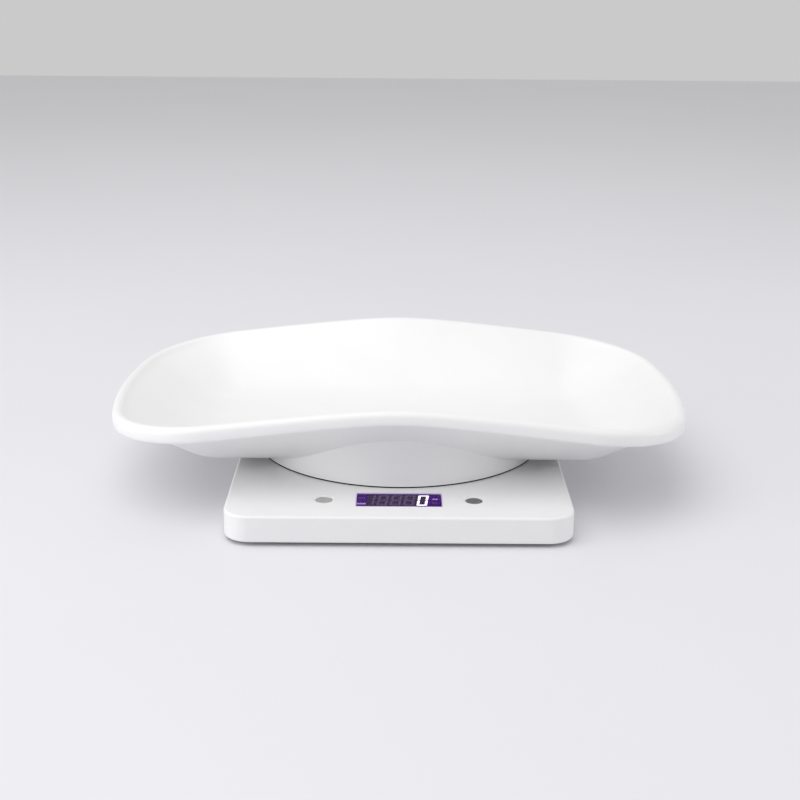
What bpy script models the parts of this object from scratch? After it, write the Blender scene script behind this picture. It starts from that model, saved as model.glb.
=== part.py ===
"""Animal weighing scale: a saddle-shaped tray standing on a slim electronic weighing base.

Metres, +Z up, +X along the tray. The origin is the middle of the whole object in plan, on the
surface that the feet stand on. Everything else is laid out from the pedestal's axis, which is the
line that the tray, the platform and the load cell share.
"""

import math

import bmesh
import bpy

GAP = 0.0003  # clearance between two pieces that touch
CUT = 0.002  # how far a cutter runs past the face that it opens

# Tray
RIM_HALF_LENGTH = 0.1665  # to the middle of the rolled rim
RIM_HALF_WIDTH = 0.10305
RIM_END_RADIUS = 0.302
RIM_SIDE_RADIUS = 9.0  # the long sides are almost straight
RIM_CORNER_RADIUS = 0.0593
RIM_HEIGHT = 0.0647  # at the middle of the long sides
RIM_FALL = 0.0165  # how much lower the rim is at the two ends
RIM_CREST = 0.17  # share of the half length over which the crest is rounded
LIP_RADIUS = 0.0037
LIP_DROP = 0.0032  # how far the crease under the lip is below the middle of the rim
LIP_DROP_MORE = 0.0012  # and how much further at the two ends
TRAY_WALL = 0.0026
TRAY_UNDERSIDE = 0.0220
TRAY_BEND = 0.040  # radius of the bend from the floor into the sloping wall, outside
SIDE_SLOPE = math.radians(45)  # of the wall at the middle of the long sides
END_SLOPE = math.radians(29)
WALL_SET = 0.0004  # how far the wall's outer face runs below the middle of the rim
SKIRT_RADIUS = 0.0863  # at its foot
SKIRT_DRAFT = 0.134  # how much the radius shrinks for each metre of height
SKIRT_WALL = 0.0024
SKIRT_FOOT = 0.0179

# Base
BASE_WIDTH = 0.190
BASE_FRONT = 0.1298  # from the pedestal's axis to the front face
BASE_BACK = 0.0930
BASE_CORNER = 0.0150
BASE_TOP = 0.0172
BASE_EDGE = 0.0022  # lower edge of the visible side wall
BASE_TOP_ROUND = 0.0014
BASE_EDGE_ROUND = 0.0010
COVER_WALL = 0.0022
COVER_ROOF = 0.0020
FLOOR_UNDERSIDE = 0.0019
FLOOR_THICKNESS = 0.0024
FLOOR_LIP_HEIGHT = 0.0028
FLOOR_LIP_WALL = 0.0015
BOSS_ROOT = 0.0008  # how far a boss, post or wall runs into what it stands on
CASE_BOSS_RADIUS = 0.0032
CASE_BOSS_BOTTOM = 0.0062
CASE_PILOT = (0.0014, 0.0040, 0.0140)  # radius, bottom and top of the hole for a screw's thread
BOARD_BOSS_RADIUS = 0.0026
BOARD_PILOT = (0.0012, 0.0060, 0.0145)
POST_OPENING_X = (0.0070, 0.0270)  # where the platform's post passes through the cover
POST_OPENING_HALF_WIDTH = 0.0100

# Display and buttons
DISPLAY_Y = -0.1039
WINDOW_HALF = (0.0231, 0.0095)
WINDOW_THICKNESS = 0.0009
GLASS_THICKNESS = 0.0024
GLASS_TOP = 0.0160  # the glass stands up in the cover's opening, close under the window
BUTTON_X = 0.0412
BUTTON_RADIUS = 0.0044
BUTTON_RING_RADIUS = 0.0059
BUTTON_RING_DEPTH = 0.0003
BUTTON_TRAVEL = 0.0005
BUTTON_DISH = 0.0005
BUTTON_EDGE = 0.0002
COLLAR_WIDTH = 0.0012
COLLAR_THICKNESS = 0.0010
STEM_RADIUS = 0.0016
SWITCH_HALF = 0.0030
SWITCH_FLOOR = 0.0012
BACKLIGHT_MARGIN = 0.0014  # how far the backlight reaches past the window on each side
FRAME_WALL = 0.0012
BOARD_SIZE = (0.1000, 0.0230)
BOARD_BOTTOM = 0.0074
BOARD_THICKNESS = 0.0016
BOARD_SCREW_PLACES = [(x, DISPLAY_Y + y) for x in (-0.031, 0.031) for y in (-0.007, 0.007)]
BOARD_HOLE = 0.0014
CHIP_HALF = 0.0040
CHIP_THICKNESS = 0.0014

# Weighing parts
PLATE_RADIUS = 0.0810
PLATE_BOTTOM = 0.0184
PLATE_THICKNESS = 0.0020
PLATE_EDGE = 0.0004
PAD_RADIUS = 0.0070
PAD_EDGE = 0.0003
PAD_PLACES = [(x, y) for x in (-0.052, 0.052) for y in (-0.028, 0.028)]
POST_X = (0.0095, 0.0235)
POST_HALF_WIDTH = 0.0070
POST_CORNER = 0.0015
POST_HOLE = 0.0017
POST_SCREW_SEAT = 0.0016  # depth of the wells that the platform's screw heads lie in
POST_SCREW_WELL = 0.0031
BEAM_SIZE = (0.046, 0.012, 0.006)
BEAM_BOTTOM = 0.0053
BEAM_SCREW_X = (0.013, 0.020)
BEAM_BOLT_HOLE = 0.0018
BEAM_SEAT_X = (-0.0245, -0.0095)
BEAM_SEAT_HALF_WIDTH = 0.0080
BEAM_STOP_RADIUS = 0.0030
BEAM_STOP_X = 0.0165
BEAM_STOP_GAP = 0.0008
BEAM_SLOT_ENDS = 0.0045  # from the beam's middle to the middle of each end of its slot
BEAM_SLOT_RADIUS = 0.0021
SEALANT_HALF = (0.0075, 0.0045)
SEALANT_THICKNESS = 0.0010

# Battery bay
BAY_Y = 0.0440
CELL_RADIUS = 0.00525
CELL_LENGTH = 0.0445
CELL_BOTTOM = 0.0035
CELL_SPACING = 0.0112
BAY_HALF_LENGTH = 0.0258
BAY_HALF_WIDTH = 0.0118
BAY_WALL = 0.0012
DOOR_HALF_LENGTH = 0.0310
DOOR_HALF_WIDTH = 0.0130
DOOR_THICKNESS = 0.0012
DOOR_TRAVEL = 0.0080
HOOK_X = 0.0283
HOOK_THICKNESS = 0.0014
HOOK_REACH = 0.0013
HOOK_LENGTH = 0.0040
HOOK_STARTS = (-0.0100, 0.0040)
HOOK_LIP = 0.0010
HOOK_ROOT = 0.0006  # how far a hook runs into the door
GRIP_GROOVES = 4
GRIP_PITCH = 0.0018
GRIP_FIRST = 0.0030  # from the door's rear edge to the first groove
GRIP_HALF = (0.0090, 0.0004)
GRIP_DEPTH = 0.0003
NOTCH_X = 0.0225  # the bay's front wall is notched here, left and right, for the two leads
NOTCH_HALF_WIDTH = 0.0011
NOTCH_BOTTOM = 0.0105
CELL_EDGE = 0.0004
CELL_NUB = (0.0019, 0.0010)  # radius and height
CONTACT_THICKNESS = 0.0004
CONTACT_SET = 0.0008  # from the bay's end wall to the contact's inner face
CONTACT_HALF_WIDTH = 0.0048
CONTACT_HEIGHT = (0.0047, 0.0130)
CONTACT_BOSS_HALF = 0.0018
SPRING_WIRE = 0.00025
SPRING_TURNS = 2.5
SPRING_REACH = 0.0018
SPRING_RADII = (0.0036, 0.0020)

# Feet and screws
FOOT_RADIUS = 0.0060
FOOT_EDGE = 0.0005
FOOT_RECESS = 0.0009
FOOT_PLACES = [(x, y) for x in (-0.078, 0.078) for y in (-0.113, 0.076)]
CASE_SCREW_PLACES = [(-0.085, -0.088), (0.085, -0.088), (-0.085, 0.052), (0.085, 0.052)]
CASE_SCREW_PLACES += [(-0.036, 0.083), (0.036, 0.083)]
HEAD_SET = 0.0001  # how far a countersunk head lies below the face around it
# Each screw's head radius, head height, shank radius and shank length.
CASE_SCREW = (0.0025, 0.0013, 0.0011, 0.0095)
BOARD_SCREW = (0.0022, 0.0010, 0.0009, 0.0060)
BEAM_SCREW = (0.0028, 0.0013, 0.0014, 0.0070)
POST_SCREW = (0.0028, 0.0012, 0.0014, 0.0120)
# Counterbored holes in the bottom cover: head radius, top of the head's well, shank radius, top.
CASE_SCREW_HOLE = (0.0029, 0.0036, 0.0014, 0.0080)
BEAM_SCREW_HOLE = (0.0031, 0.0036, 0.0017, 0.0070)

FLOOR_TOP = FLOOR_UNDERSIDE + FLOOR_THICKNESS
ROOF_UNDERSIDE = BASE_TOP - COVER_ROOF
BOARD_TOP = BOARD_BOTTOM + BOARD_THICKNESS
PLATE_TOP = PLATE_BOTTOM + PLATE_THICKNESS
BEAM_TOP = BEAM_BOTTOM + BEAM_SIZE[2]
DOOR_RECESS_TOP = FLOOR_UNDERSIDE + DOOR_THICKNESS + GAP
CELL_AXIS_Z = CELL_BOTTOM + CELL_RADIUS
# The origin halves the distance from the base's front face to the back of the tray's rim.
AXIS_Y = (BASE_FRONT - RIM_HALF_WIDTH - LIP_RADIUS) / 2


# ---------------------------------------------------------------- mesh helpers


def add_rings(bm, rings, closed=False):
    """Skin rings of equal length, each anticlockwise from above, lowest first. A ring that is a
    single point makes a fan. The two ends are capped, or joined to each other when closed."""
    count = max(len(ring) for ring in rings)
    loops = []
    for ring in rings:
        verts = [bm.verts.new(point) for point in ring]
        loops.append(verts * (count // len(verts)))
    pairs = list(zip(loops, loops[1:]))
    if closed:
        pairs.append((loops[-1], loops[0]))
    for low, high in pairs:
        for i in range(count):
            j = (i + 1) % count
            corners = dict.fromkeys((low[i], low[j], high[j], high[i]))
            if len(corners) > 2:
                bm.faces.new(tuple(corners))
    if closed:
        return
    for loop, ring, step in ((loops[0], rings[0], -1), (loops[-1], rings[-1], 1)):
        if len(ring) > 2:
            bm.faces.new(loop[::step])


def at_height(outline, height):
    return [(x, y, height) for x, y in outline]


def add_prism(bm, outline, low, high):
    add_rings(bm, [at_height(outline, low), at_height(outline, high)])


def add_box(bm, x, y, z):
    """A box from its (low, high) limits on each axis."""
    outline = [(x[0], y[0]), (x[1], y[0]), (x[1], y[1]), (x[0], y[1])]
    add_prism(bm, outline, z[0], z[1])


def circle(radius, centre=(0.0, 0.0), sides=32):
    angles = [2 * math.pi * i / sides for i in range(sides)]
    return [(centre[0] + radius * math.cos(a), centre[1] + radius * math.sin(a)) for a in angles]


def add_turned(bm, profile, centre=(0.0, 0.0), sides=32):
    """Turn (radius, height) points about +Z. They run up the outer side; a profile that keeps off
    the axis is closed into a ring."""
    rings = []
    for radius, height in profile:
        outline = circle(radius, centre, sides) if radius > 0 else [centre]
        rings.append(at_height(outline, height))
    add_rings(bm, rings, closed=profile[0][0] > 0 and profile[-1][0] > 0)


def add_cylinder(bm, radius, low, high, centre=(0.0, 0.0), sides=24):
    add_prism(bm, circle(radius, centre, sides), low, high)


def rounded_rectangle(x, y, radius, steps=6):
    """A rectangle given by its (low, high) limits, with round corners."""
    corners = (
        (x[1] - radius, y[0] + radius, -90),
        (x[1] - radius, y[1] - radius, 0),
        (x[0] + radius, y[1] - radius, 90),
        (x[0] + radius, y[0] + radius, 180),
    )
    outline = []
    for centre_x, centre_y, start in corners:
        for i in range(steps + 1):
            angle = math.radians(start + 90 * i / steps)
            across = centre_x + radius * math.cos(angle)
            outline.append((across, centre_y + radius * math.sin(angle)))
    return outline


def cross(a, b):
    return (
        a[1] * b[2] - a[2] * b[1],
        a[2] * b[0] - a[0] * b[2],
        a[0] * b[1] - a[1] * b[0],
    )


def add_tube(bm, path, radius, sides=6):
    """A round wire along a path that winds about X, capped at both ends."""
    rings = []
    for i, point in enumerate(path):
        ahead = path[min(i + 1, len(path) - 1)]
        behind = path[max(i - 1, 0)]
        along = [ahead[k] - behind[k] for k in range(3)]
        length = math.sqrt(sum(value * value for value in along))
        along = [value / length for value in along]
        side = cross(along, (1.0, 0.0, 0.0))
        size = math.sqrt(sum(value * value for value in side))
        side = [value / size for value in side]
        other = cross(along, side)
        ring = []
        for j in range(sides):
            angle = 2 * math.pi * j / sides
            across, up = radius * math.cos(angle), radius * math.sin(angle)
            ring.append([point[k] + across * side[k] + up * other[k] for k in range(3)])
        rings.append(ring)
    add_rings(bm, rings)


# ---------------------------------------------------------------- object helpers


def clear_scene():
    for obj in list(bpy.data.objects):
        bpy.data.objects.remove(obj, do_unlink=True)


def plastic(name, colour, roughness=0.4, metallic=0.0, alpha=1.0):
    material = bpy.data.materials.new(name)
    material.use_nodes = True
    shader = material.node_tree.nodes["Principled BSDF"]
    shader.inputs["Base Color"].default_value = (*colour, 1.0)
    shader.inputs["Roughness"].default_value = roughness
    shader.inputs["Metallic"].default_value = metallic
    shader.inputs["Alpha"].default_value = alpha
    return material


def axis_empty(name, parent=None, location=(0.0, 0.0, 0.0)):
    empty = bpy.data.objects.new(name, None)
    bpy.context.scene.collection.objects.link(empty)
    empty.parent = parent
    empty.location = location
    return empty


def mesh_of(name, bm, material=None):
    bmesh.ops.recalc_face_normals(bm, faces=bm.faces)
    mesh = bpy.data.meshes.new(name)
    bm.to_mesh(mesh)
    bm.free()
    mesh.shade_smooth()
    mesh.set_sharp_from_angle(angle=math.radians(35))
    if material:
        mesh.materials.append(material)
    return mesh


def piece(name, mesh, parent, location=(0.0, 0.0, 0.0)):
    obj = bpy.data.objects.new(name, mesh)
    bpy.context.scene.collection.objects.link(obj)
    obj.parent = parent
    obj.location = location
    return obj


def combine(target, tool_bm, operation):
    """Cut a tool from a piece, or join it on, with a Boolean that stays on the piece."""
    name = f"{target.name}_{operation.lower()}_{len(target.modifiers)}"
    tool = piece(name, mesh_of(name, tool_bm), target.parent, target.location)
    tool.hide_render = True
    tool.display_type = "WIRE"
    modifier = target.modifiers.new(name, "BOOLEAN")
    modifier.operation = operation
    modifier.object = tool


def cut(target, tool_bm):
    combine(target, tool_bm, "DIFFERENCE")


def join(target, tool_bm):
    combine(target, tool_bm, "UNION")


# ---------------------------------------------------------------- tray


def arc_points(centre, radius, start, end, steps):
    """(x, y, angle of the outward normal) along an arc, without its last point."""
    points = []
    for i in range(steps):
        angle = start + (end - start) * i / steps
        x = centre[0] + radius * math.cos(angle)
        points.append((x, centre[1] + radius * math.sin(angle), angle))
    return points


def rim_quadrant(end_steps, corner_steps, side_steps):
    """The rim's plan from the middle of the right end to just before the middle of the back."""
    end_centre = (RIM_HALF_LENGTH - RIM_END_RADIUS, 0.0)
    side_centre = (0.0, RIM_HALF_WIDTH - RIM_SIDE_RADIUS)
    # The corner arc touches both long arcs, so its centre is where two circles cross.
    to_end = RIM_END_RADIUS - RIM_CORNER_RADIUS
    to_side = RIM_SIDE_RADIUS - RIM_CORNER_RADIUS
    apart = math.dist(end_centre, side_centre)
    along = (to_end**2 - to_side**2 + apart**2) / (2 * apart)
    across = math.sqrt(to_end**2 - along**2)
    unit = [(side_centre[k] - end_centre[k]) / apart for k in range(2)]
    corner = (
        end_centre[0] + along * unit[0] - across * unit[1],
        end_centre[1] + along * unit[1] + across * unit[0],
    )
    first = math.atan2(corner[1] - end_centre[1], corner[0] - end_centre[0])
    second = math.atan2(corner[1] - side_centre[1], corner[0] - side_centre[0])
    points = arc_points(end_centre, RIM_END_RADIUS, 0.0, first, end_steps)
    points += arc_points(corner, RIM_CORNER_RADIUS, first, second, corner_steps)
    return points + arc_points(side_centre, RIM_SIDE_RADIUS, second, math.pi / 2, side_steps)


def rim_stations(end_steps=3, corner_steps=9, side_steps=6):
    """The whole rim, anticlockwise, as (x, y, normal x, normal y)."""
    right_back = rim_quadrant(end_steps, corner_steps, side_steps)
    middle = (0.0, RIM_HALF_WIDTH, math.pi / 2)
    left_back = [(-x, y, math.pi - angle) for x, y, angle in reversed(right_back)]
    back = right_back + [middle] + left_back
    front = [(-x, -y, math.pi + angle) for x, y, angle in back]
    half_turn = len(back) - 1
    whole = back[:half_turn] + front[:half_turn]
    return [(x, y, math.cos(angle), math.sin(angle)) for x, y, angle in whole]


def rim_fall(x):
    """The share of its whole fall that the rim has made here: 0 at the middle of the long sides,
    1 at the ends, over a rounded crest."""
    share = abs(x) / RIM_HALF_LENGTH
    return (math.hypot(1, share / RIM_CREST) - 1) / (math.hypot(1, 1 / RIM_CREST) - 1)


def wall_shape(x):
    """The rim's height, the wall's slope, and where the floor's bend is centred, outward of the
    rim's middle."""
    fall = rim_fall(x)
    height = RIM_HEIGHT - RIM_FALL * fall
    slope = SIDE_SLOPE + (END_SLOPE - SIDE_SLOPE) * fall
    bend_end = TRAY_UNDERSIDE + TRAY_BEND * (1 - math.cos(slope))
    wall_run = (height - WALL_SET - bend_end) / math.tan(slope)
    return height, slope, -wall_run - TRAY_BEND * math.sin(slope)


def tray_section(x, bend_steps=4):
    """The tray's wall as (outward distance, height) points: from the floor's outer edge up the
    underside, round the lip and down the inside to the floor."""
    height, slope, centre = wall_shape(x)
    sine, cosine = math.sin(slope), math.cos(slope)
    inner = TRAY_BEND - TRAY_WALL
    angles = [slope * i / bend_steps for i in range(bend_steps + 1)]
    lift = TRAY_UNDERSIDE + TRAY_BEND
    section = [(centre + TRAY_BEND * math.sin(a), lift - TRAY_BEND * math.cos(a)) for a in angles]
    # The lip turns down outside the wall, which leaves a crease under it.
    drop = LIP_DROP + LIP_DROP_MORE * rim_fall(x)
    section.append((-drop / math.tan(slope), height - drop - WALL_SET))
    for out, lower in ((0.0, 0.0012), (0.0016, 0.0016), (0.0030, 0.0009), (0.0036, -0.0010)):
        section.append((out, height - drop - lower))
    for step in range(5):
        angle = (math.pi - slope) * step / 4
        out = LIP_RADIUS * math.cos(angle)
        section.append((out, height + LIP_RADIUS * math.sin(angle)))
    # The wall thickens smoothly into the lip.
    top_out, top_up = section[-1]
    end_out, end_up = centre + inner * sine, lift - inner * cosine
    extra = LIP_RADIUS - (TRAY_WALL - WALL_SET * cosine)
    for share in (0.3, 0.65):
        run = end_out + (top_out + extra * sine - end_out) * (1 - share)
        rise = end_up + (top_up - extra * cosine - end_up) * (1 - share)
        proud = extra * (1 - share) ** 2
        section.append((run - proud * sine, rise + proud * cosine))
    for a in reversed(angles):
        section.append((centre + inner * math.sin(a), lift - inner * math.cos(a)))
    return section


def underside_height(x, y, stations):
    """How high the tray's underside is above a point of the plan."""
    near = min(stations, key=lambda s: math.hypot(s[0] - x, s[1] - y))
    inward = (near[0] - x) * near[2] + (near[1] - y) * near[3]
    height, slope, centre = wall_shape(x + inward * near[2])
    reach = -inward - centre
    if reach <= 0:
        return TRAY_UNDERSIDE
    if reach >= TRAY_BEND * math.sin(slope):
        return height - inward * math.tan(slope) - WALL_SET
    return TRAY_UNDERSIDE + TRAY_BEND - math.sqrt(TRAY_BEND**2 - reach**2)


def add_dish(bm, stations):
    sections = [tray_section(x) for x, y, nx, ny in stations]
    rings = []
    for level in range(len(sections[0])):
        ring = []
        for (x, y, nx, ny), section in zip(stations, sections):
            out, up = section[level]
            ring.append((x + out * nx, y + out * ny, up))
        rings.append(ring)
    add_rings(bm, rings)


def add_skirt(bm, stations, sides=56):
    """The round skirt, whose top edge follows the dish and stays inside its wall."""
    rings = [[], [], [], []]
    for i in range(sides):
        angle = 2 * math.pi * i / sides
        cosine, sine = math.cos(angle), math.sin(angle)
        for thickness, low, high in ((0.0, 0, 1), (SKIRT_WALL, 3, 2)):
            foot = SKIRT_RADIUS - thickness
            top = SKIRT_FOOT
            for _ in range(6):
                radius = foot - SKIRT_DRAFT * (top - SKIRT_FOOT)
                top = underside_height(radius * cosine, radius * sine, stations)
            top += TRAY_WALL / 2
            radius = foot - SKIRT_DRAFT * (top - SKIRT_FOOT)
            rings[low].append((foot * cosine, foot * sine, SKIRT_FOOT))
            rings[high].append((radius * cosine, radius * sine, top))
    add_rings(bm, rings, closed=True)


def make_tray(parent, material):
    stations = rim_stations()
    dish = bmesh.new()
    add_dish(dish, stations)
    tray = piece("tray", mesh_of("tray", dish, material), parent)
    skirt = bmesh.new()
    add_skirt(skirt, stations)
    join(tray, skirt)


# ---------------------------------------------------------------- base covers


def base_outline(inset, steps=6):
    """The base's plan, anticlockwise, drawn in by an inset."""
    x = (-BASE_WIDTH / 2 + inset, BASE_WIDTH / 2 - inset)
    y = (-BASE_FRONT + inset, BASE_BACK - inset)
    return rounded_rectangle(x, y, BASE_CORNER - inset, steps)


def add_cover_body(bm):
    """The cover's outside, with its upper and lower edges rounded."""
    rings = []
    for i in range(4):
        angle = math.radians(30 * i)
        inset = BASE_EDGE_ROUND * (1 - math.sin(angle))
        height = BASE_EDGE + BASE_EDGE_ROUND * (1 - math.cos(angle))
        rings.append(at_height(base_outline(inset), height))
    for i in range(4):
        angle = math.radians(30 * i)
        inset = BASE_TOP_ROUND * (1 - math.cos(angle))
        height = BASE_TOP - BASE_TOP_ROUND * (1 - math.sin(angle))
        rings.append(at_height(base_outline(inset), height))
    add_rings(bm, rings)


def make_top_cover(parent, material):
    body = bmesh.new()
    add_cover_body(body)
    cover = piece("top_cover", mesh_of("top_cover", body, material), parent)
    cavity = bmesh.new()
    add_prism(cavity, base_outline(COVER_WALL), BASE_EDGE - CUT, ROOF_UNDERSIDE)
    cut(cover, cavity)

    bosses = bmesh.new()
    roots = ROOF_UNDERSIDE + BOSS_ROOT
    for place in CASE_SCREW_PLACES:
        add_cylinder(bosses, CASE_BOSS_RADIUS, CASE_BOSS_BOTTOM, roots, place, 16)
    for place in BOARD_SCREW_PLACES:
        add_cylinder(bosses, BOARD_BOSS_RADIUS, BOARD_TOP + GAP, roots, place, 16)
    join(cover, bosses)

    holes = bmesh.new()
    for place in CASE_SCREW_PLACES:
        add_cylinder(holes, *CASE_PILOT, place, 12)
    for place in BOARD_SCREW_PLACES:
        add_cylinder(holes, *BOARD_PILOT, place, 12)
    for side in (-1, 1):
        ring_floor = BASE_TOP - BUTTON_RING_DEPTH
        hole = BUTTON_RADIUS + GAP
        profile = [(0, ROOF_UNDERSIDE - CUT), (hole, ROOF_UNDERSIDE - CUT), (hole, ring_floor)]
        profile += [(BUTTON_RING_RADIUS, ring_floor), (BUTTON_RING_RADIUS, BASE_TOP + CUT)]
        profile.append((0, BASE_TOP + CUT))
        add_turned(holes, profile, (side * BUTTON_X, DISPLAY_Y))
    # The platform's post and its screws pass through here to the load cell.
    y = (-POST_OPENING_HALF_WIDTH, POST_OPENING_HALF_WIDTH)
    through = (ROOF_UNDERSIDE - CUT, BASE_TOP + CUT)
    add_box(holes, POST_OPENING_X, y, through)
    x, y = (half + GAP for half in WINDOW_HALF)
    add_box(holes, (-x, x), (DISPLAY_Y - y, DISPLAY_Y + y), through)
    cut(cover, holes)


def make_bottom_cover(parent, material):
    inset = COVER_WALL + GAP
    plate = bmesh.new()
    add_prism(plate, base_outline(inset), FLOOR_UNDERSIDE, FLOOR_TOP + FLOOR_LIP_HEIGHT)
    cover = piece("bottom_cover", mesh_of("bottom_cover", plate, material), parent)
    pocket = bmesh.new()
    top = FLOOR_TOP + FLOOR_LIP_HEIGHT + CUT
    add_prism(pocket, base_outline(inset + FLOOR_LIP_WALL), FLOOR_TOP, top)
    cut(cover, pocket)

    posts = bmesh.new()
    root = FLOOR_TOP - BOSS_ROOT
    for place in CASE_SCREW_PLACES:
        add_cylinder(posts, CASE_BOSS_RADIUS, root, CASE_BOSS_BOTTOM - GAP, place, 16)
    y = (-BEAM_SEAT_HALF_WIDTH, BEAM_SEAT_HALF_WIDTH)
    add_box(posts, BEAM_SEAT_X, y, (root, BEAM_BOTTOM - GAP))
    # A stop under the beam's free end catches it when the scale is overloaded.
    stop_top = BEAM_BOTTOM - BEAM_STOP_GAP
    add_cylinder(posts, BEAM_STOP_RADIUS, root, stop_top, (BEAM_STOP_X, 0.0), 16)
    walls_top = ROOF_UNDERSIDE - GAP
    outer_x, outer_y = BAY_HALF_LENGTH + BAY_WALL, BAY_HALF_WIDTH + BAY_WALL
    outline = [(-outer_x, BAY_Y - outer_y), (outer_x, BAY_Y - outer_y)]
    outline += [(outer_x, BAY_Y + outer_y), (-outer_x, BAY_Y + outer_y)]
    add_prism(posts, outline, root, walls_top)
    join(cover, posts)

    holes = bmesh.new()
    for place in CASE_SCREW_PLACES:
        add_turned(holes, screw_hole(*CASE_SCREW_HOLE), place, 16)
    for x in BEAM_SCREW_X:
        add_turned(holes, screw_hole(*BEAM_SCREW_HOLE), (-x, 0.0), 16)
    for place in FOOT_PLACES:
        radius = FOOT_RADIUS + GAP
        add_cylinder(holes, radius, FLOOR_UNDERSIDE - CUT, FLOOR_UNDERSIDE + FOOT_RECESS, place)
    cut(cover, holes)

    door_space = bmesh.new()
    reach = DOOR_HALF_LENGTH + GAP
    y = (BAY_Y - DOOR_HALF_WIDTH - GAP, BAY_Y + DOOR_HALF_WIDTH + DOOR_TRAVEL + GAP)
    add_box(door_space, (-reach, reach), y, (FLOOR_UNDERSIDE - CUT, DOOR_RECESS_TOP))
    cut(cover, door_space)
    bay = bmesh.new()
    x = (-BAY_HALF_LENGTH, BAY_HALF_LENGTH)
    y = (BAY_Y - BAY_HALF_WIDTH, BAY_Y + BAY_HALF_WIDTH)
    add_box(bay, x, y, (FLOOR_UNDERSIDE, walls_top + CUT))
    for side in (-1, 1):
        near = HOOK_X - GAP
        far = HOOK_X + HOOK_THICKNESS + GAP
        x = (near, far) if side > 0 else (-far, -near)
        for start in HOOK_STARTS:
            y = (BAY_Y + start - GAP, BAY_Y + start + HOOK_LENGTH + DOOR_TRAVEL + GAP)
            add_box(bay, x, y, (FLOOR_UNDERSIDE, FLOOR_TOP + CUT))
    cut(cover, bay)
    # Notches through the bay's front wall let the two leads out.
    notches = bmesh.new()
    y = (BAY_Y - BAY_HALF_WIDTH - BAY_WALL - CUT, BAY_Y - BAY_HALF_WIDTH + CUT / 2)
    for x in (-NOTCH_X, NOTCH_X):
        across = (x - NOTCH_HALF_WIDTH, x + NOTCH_HALF_WIDTH)
        add_box(notches, across, y, (NOTCH_BOTTOM, walls_top + CUT))
    cut(cover, notches)


def screw_hole(head_radius, head_top, shank_radius, top):
    """A counterbored hole, open below, as a profile to turn."""
    low = FLOOR_UNDERSIDE - CUT
    return [(0, low), (head_radius, low), (head_radius, head_top), (shank_radius, head_top),
            (shank_radius, top), (0, top)]


# ---------------------------------------------------------------- fasteners and feet


def screw_mesh(name, material, size):
    """A pan-head screw that points up from its head."""
    head_radius, head_height, shank_radius, length = size
    bm = bmesh.new()
    tip = head_height + length
    profile = [(0, 0), (head_radius * 0.8, 0), (head_radius, head_height * 0.3)]
    profile += [(head_radius, head_height), (shank_radius, head_height)]
    profile += [(shank_radius, tip - shank_radius), (shank_radius * 0.3, tip), (0, tip)]
    add_turned(bm, profile, sides=12)
    return mesh_of(name, bm, material)


def add_cross(bm, head_radius, head_height):
    """A cross-shaped recess tool, below the head's face at height 0."""
    half, arm = head_radius * 0.13, head_radius * 0.55
    outline = []
    for turn in range(4):
        cosine, sine = round(math.cos(turn * math.pi / 2)), round(math.sin(turn * math.pi / 2))
        for x, y in ((arm, -half), (arm, half), (half, half)):
            outline.append((x * cosine - y * sine, x * sine + y * cosine))
    add_prism(bm, outline, -head_height, head_height * 0.5)


def make_screws(prefix, size, places, head_face, parent, material, pointing_up=True):
    """Like screws whose heads end at one height, each with a cross recess."""
    mesh = screw_mesh(prefix, material, size)
    for number, (x, y) in enumerate(places, 1):
        screw = piece(f"{prefix}_{number}", mesh, parent, (x, y, head_face))
        recess = bmesh.new()
        add_cross(recess, size[0], size[1])
        cut(screw, recess)
        if not pointing_up:
            screw.rotation_euler.x = math.pi
            screw.modifiers[0].object.rotation_euler.x = math.pi


def make_feet(parent, material):
    bm = bmesh.new()
    top = FLOOR_UNDERSIDE + FOOT_RECESS - GAP
    profile = [(0, 0), (FOOT_RADIUS - FOOT_EDGE, 0), (FOOT_RADIUS, FOOT_EDGE), (FOOT_RADIUS, top)]
    add_turned(bm, profile + [(0, top)], sides=24)
    mesh = mesh_of("rubber_foot", bm, material)
    for number, (x, y) in enumerate(FOOT_PLACES, 1):
        piece(f"rubber_foot_{number}", mesh, parent, (x, y, 0.0))


# ---------------------------------------------------------------- display and buttons


def make_display(parent, look):
    """The window over the glass and its backlight, which a frame holds together on the board."""
    half_x, half_y = WINDOW_HALF
    window_bottom = BASE_TOP - WINDOW_THICKNESS
    backlight_top = GLASS_TOP - GLASS_THICKNESS - GAP
    layers = (
        ("display_window", 0.0, window_bottom, BASE_TOP - 0.00005, "clear"),  # just below flush
        ("lcd_glass", -0.0001, GLASS_TOP - GLASS_THICKNESS, GLASS_TOP, "screen"),
        ("backlight_panel", BACKLIGHT_MARGIN, BOARD_TOP + GAP, backlight_top, "diffuser"),
    )
    for name, outset, low, high, material in layers:
        bm = bmesh.new()
        x, y = half_x + outset, half_y + outset
        add_box(bm, (-x, x), (DISPLAY_Y - y, DISPLAY_Y + y), (low, high))
        piece(name, mesh_of(name, bm, look[material]), parent)

    frame = bmesh.new()
    inner_x, inner_y = (half + BACKLIGHT_MARGIN + GAP for half in WINDOW_HALF)
    low, high = BOARD_TOP + GAP, ROOF_UNDERSIDE - GAP
    rings = []
    for x, y, height in (
        (inner_x + FRAME_WALL, inner_y + FRAME_WALL, low),
        (inner_x + FRAME_WALL, inner_y + FRAME_WALL, high),
        (inner_x, inner_y, high),
        (inner_x, inner_y, low),
    ):
        outline = [(-x, DISPLAY_Y - y), (x, DISPLAY_Y - y), (x, DISPLAY_Y + y), (-x, DISPLAY_Y + y)]
        rings.append(at_height(outline, height))
    add_rings(frame, rings, closed=True)
    piece("display_frame", mesh_of("display_frame", frame, look["diffuser"]), parent)


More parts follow.
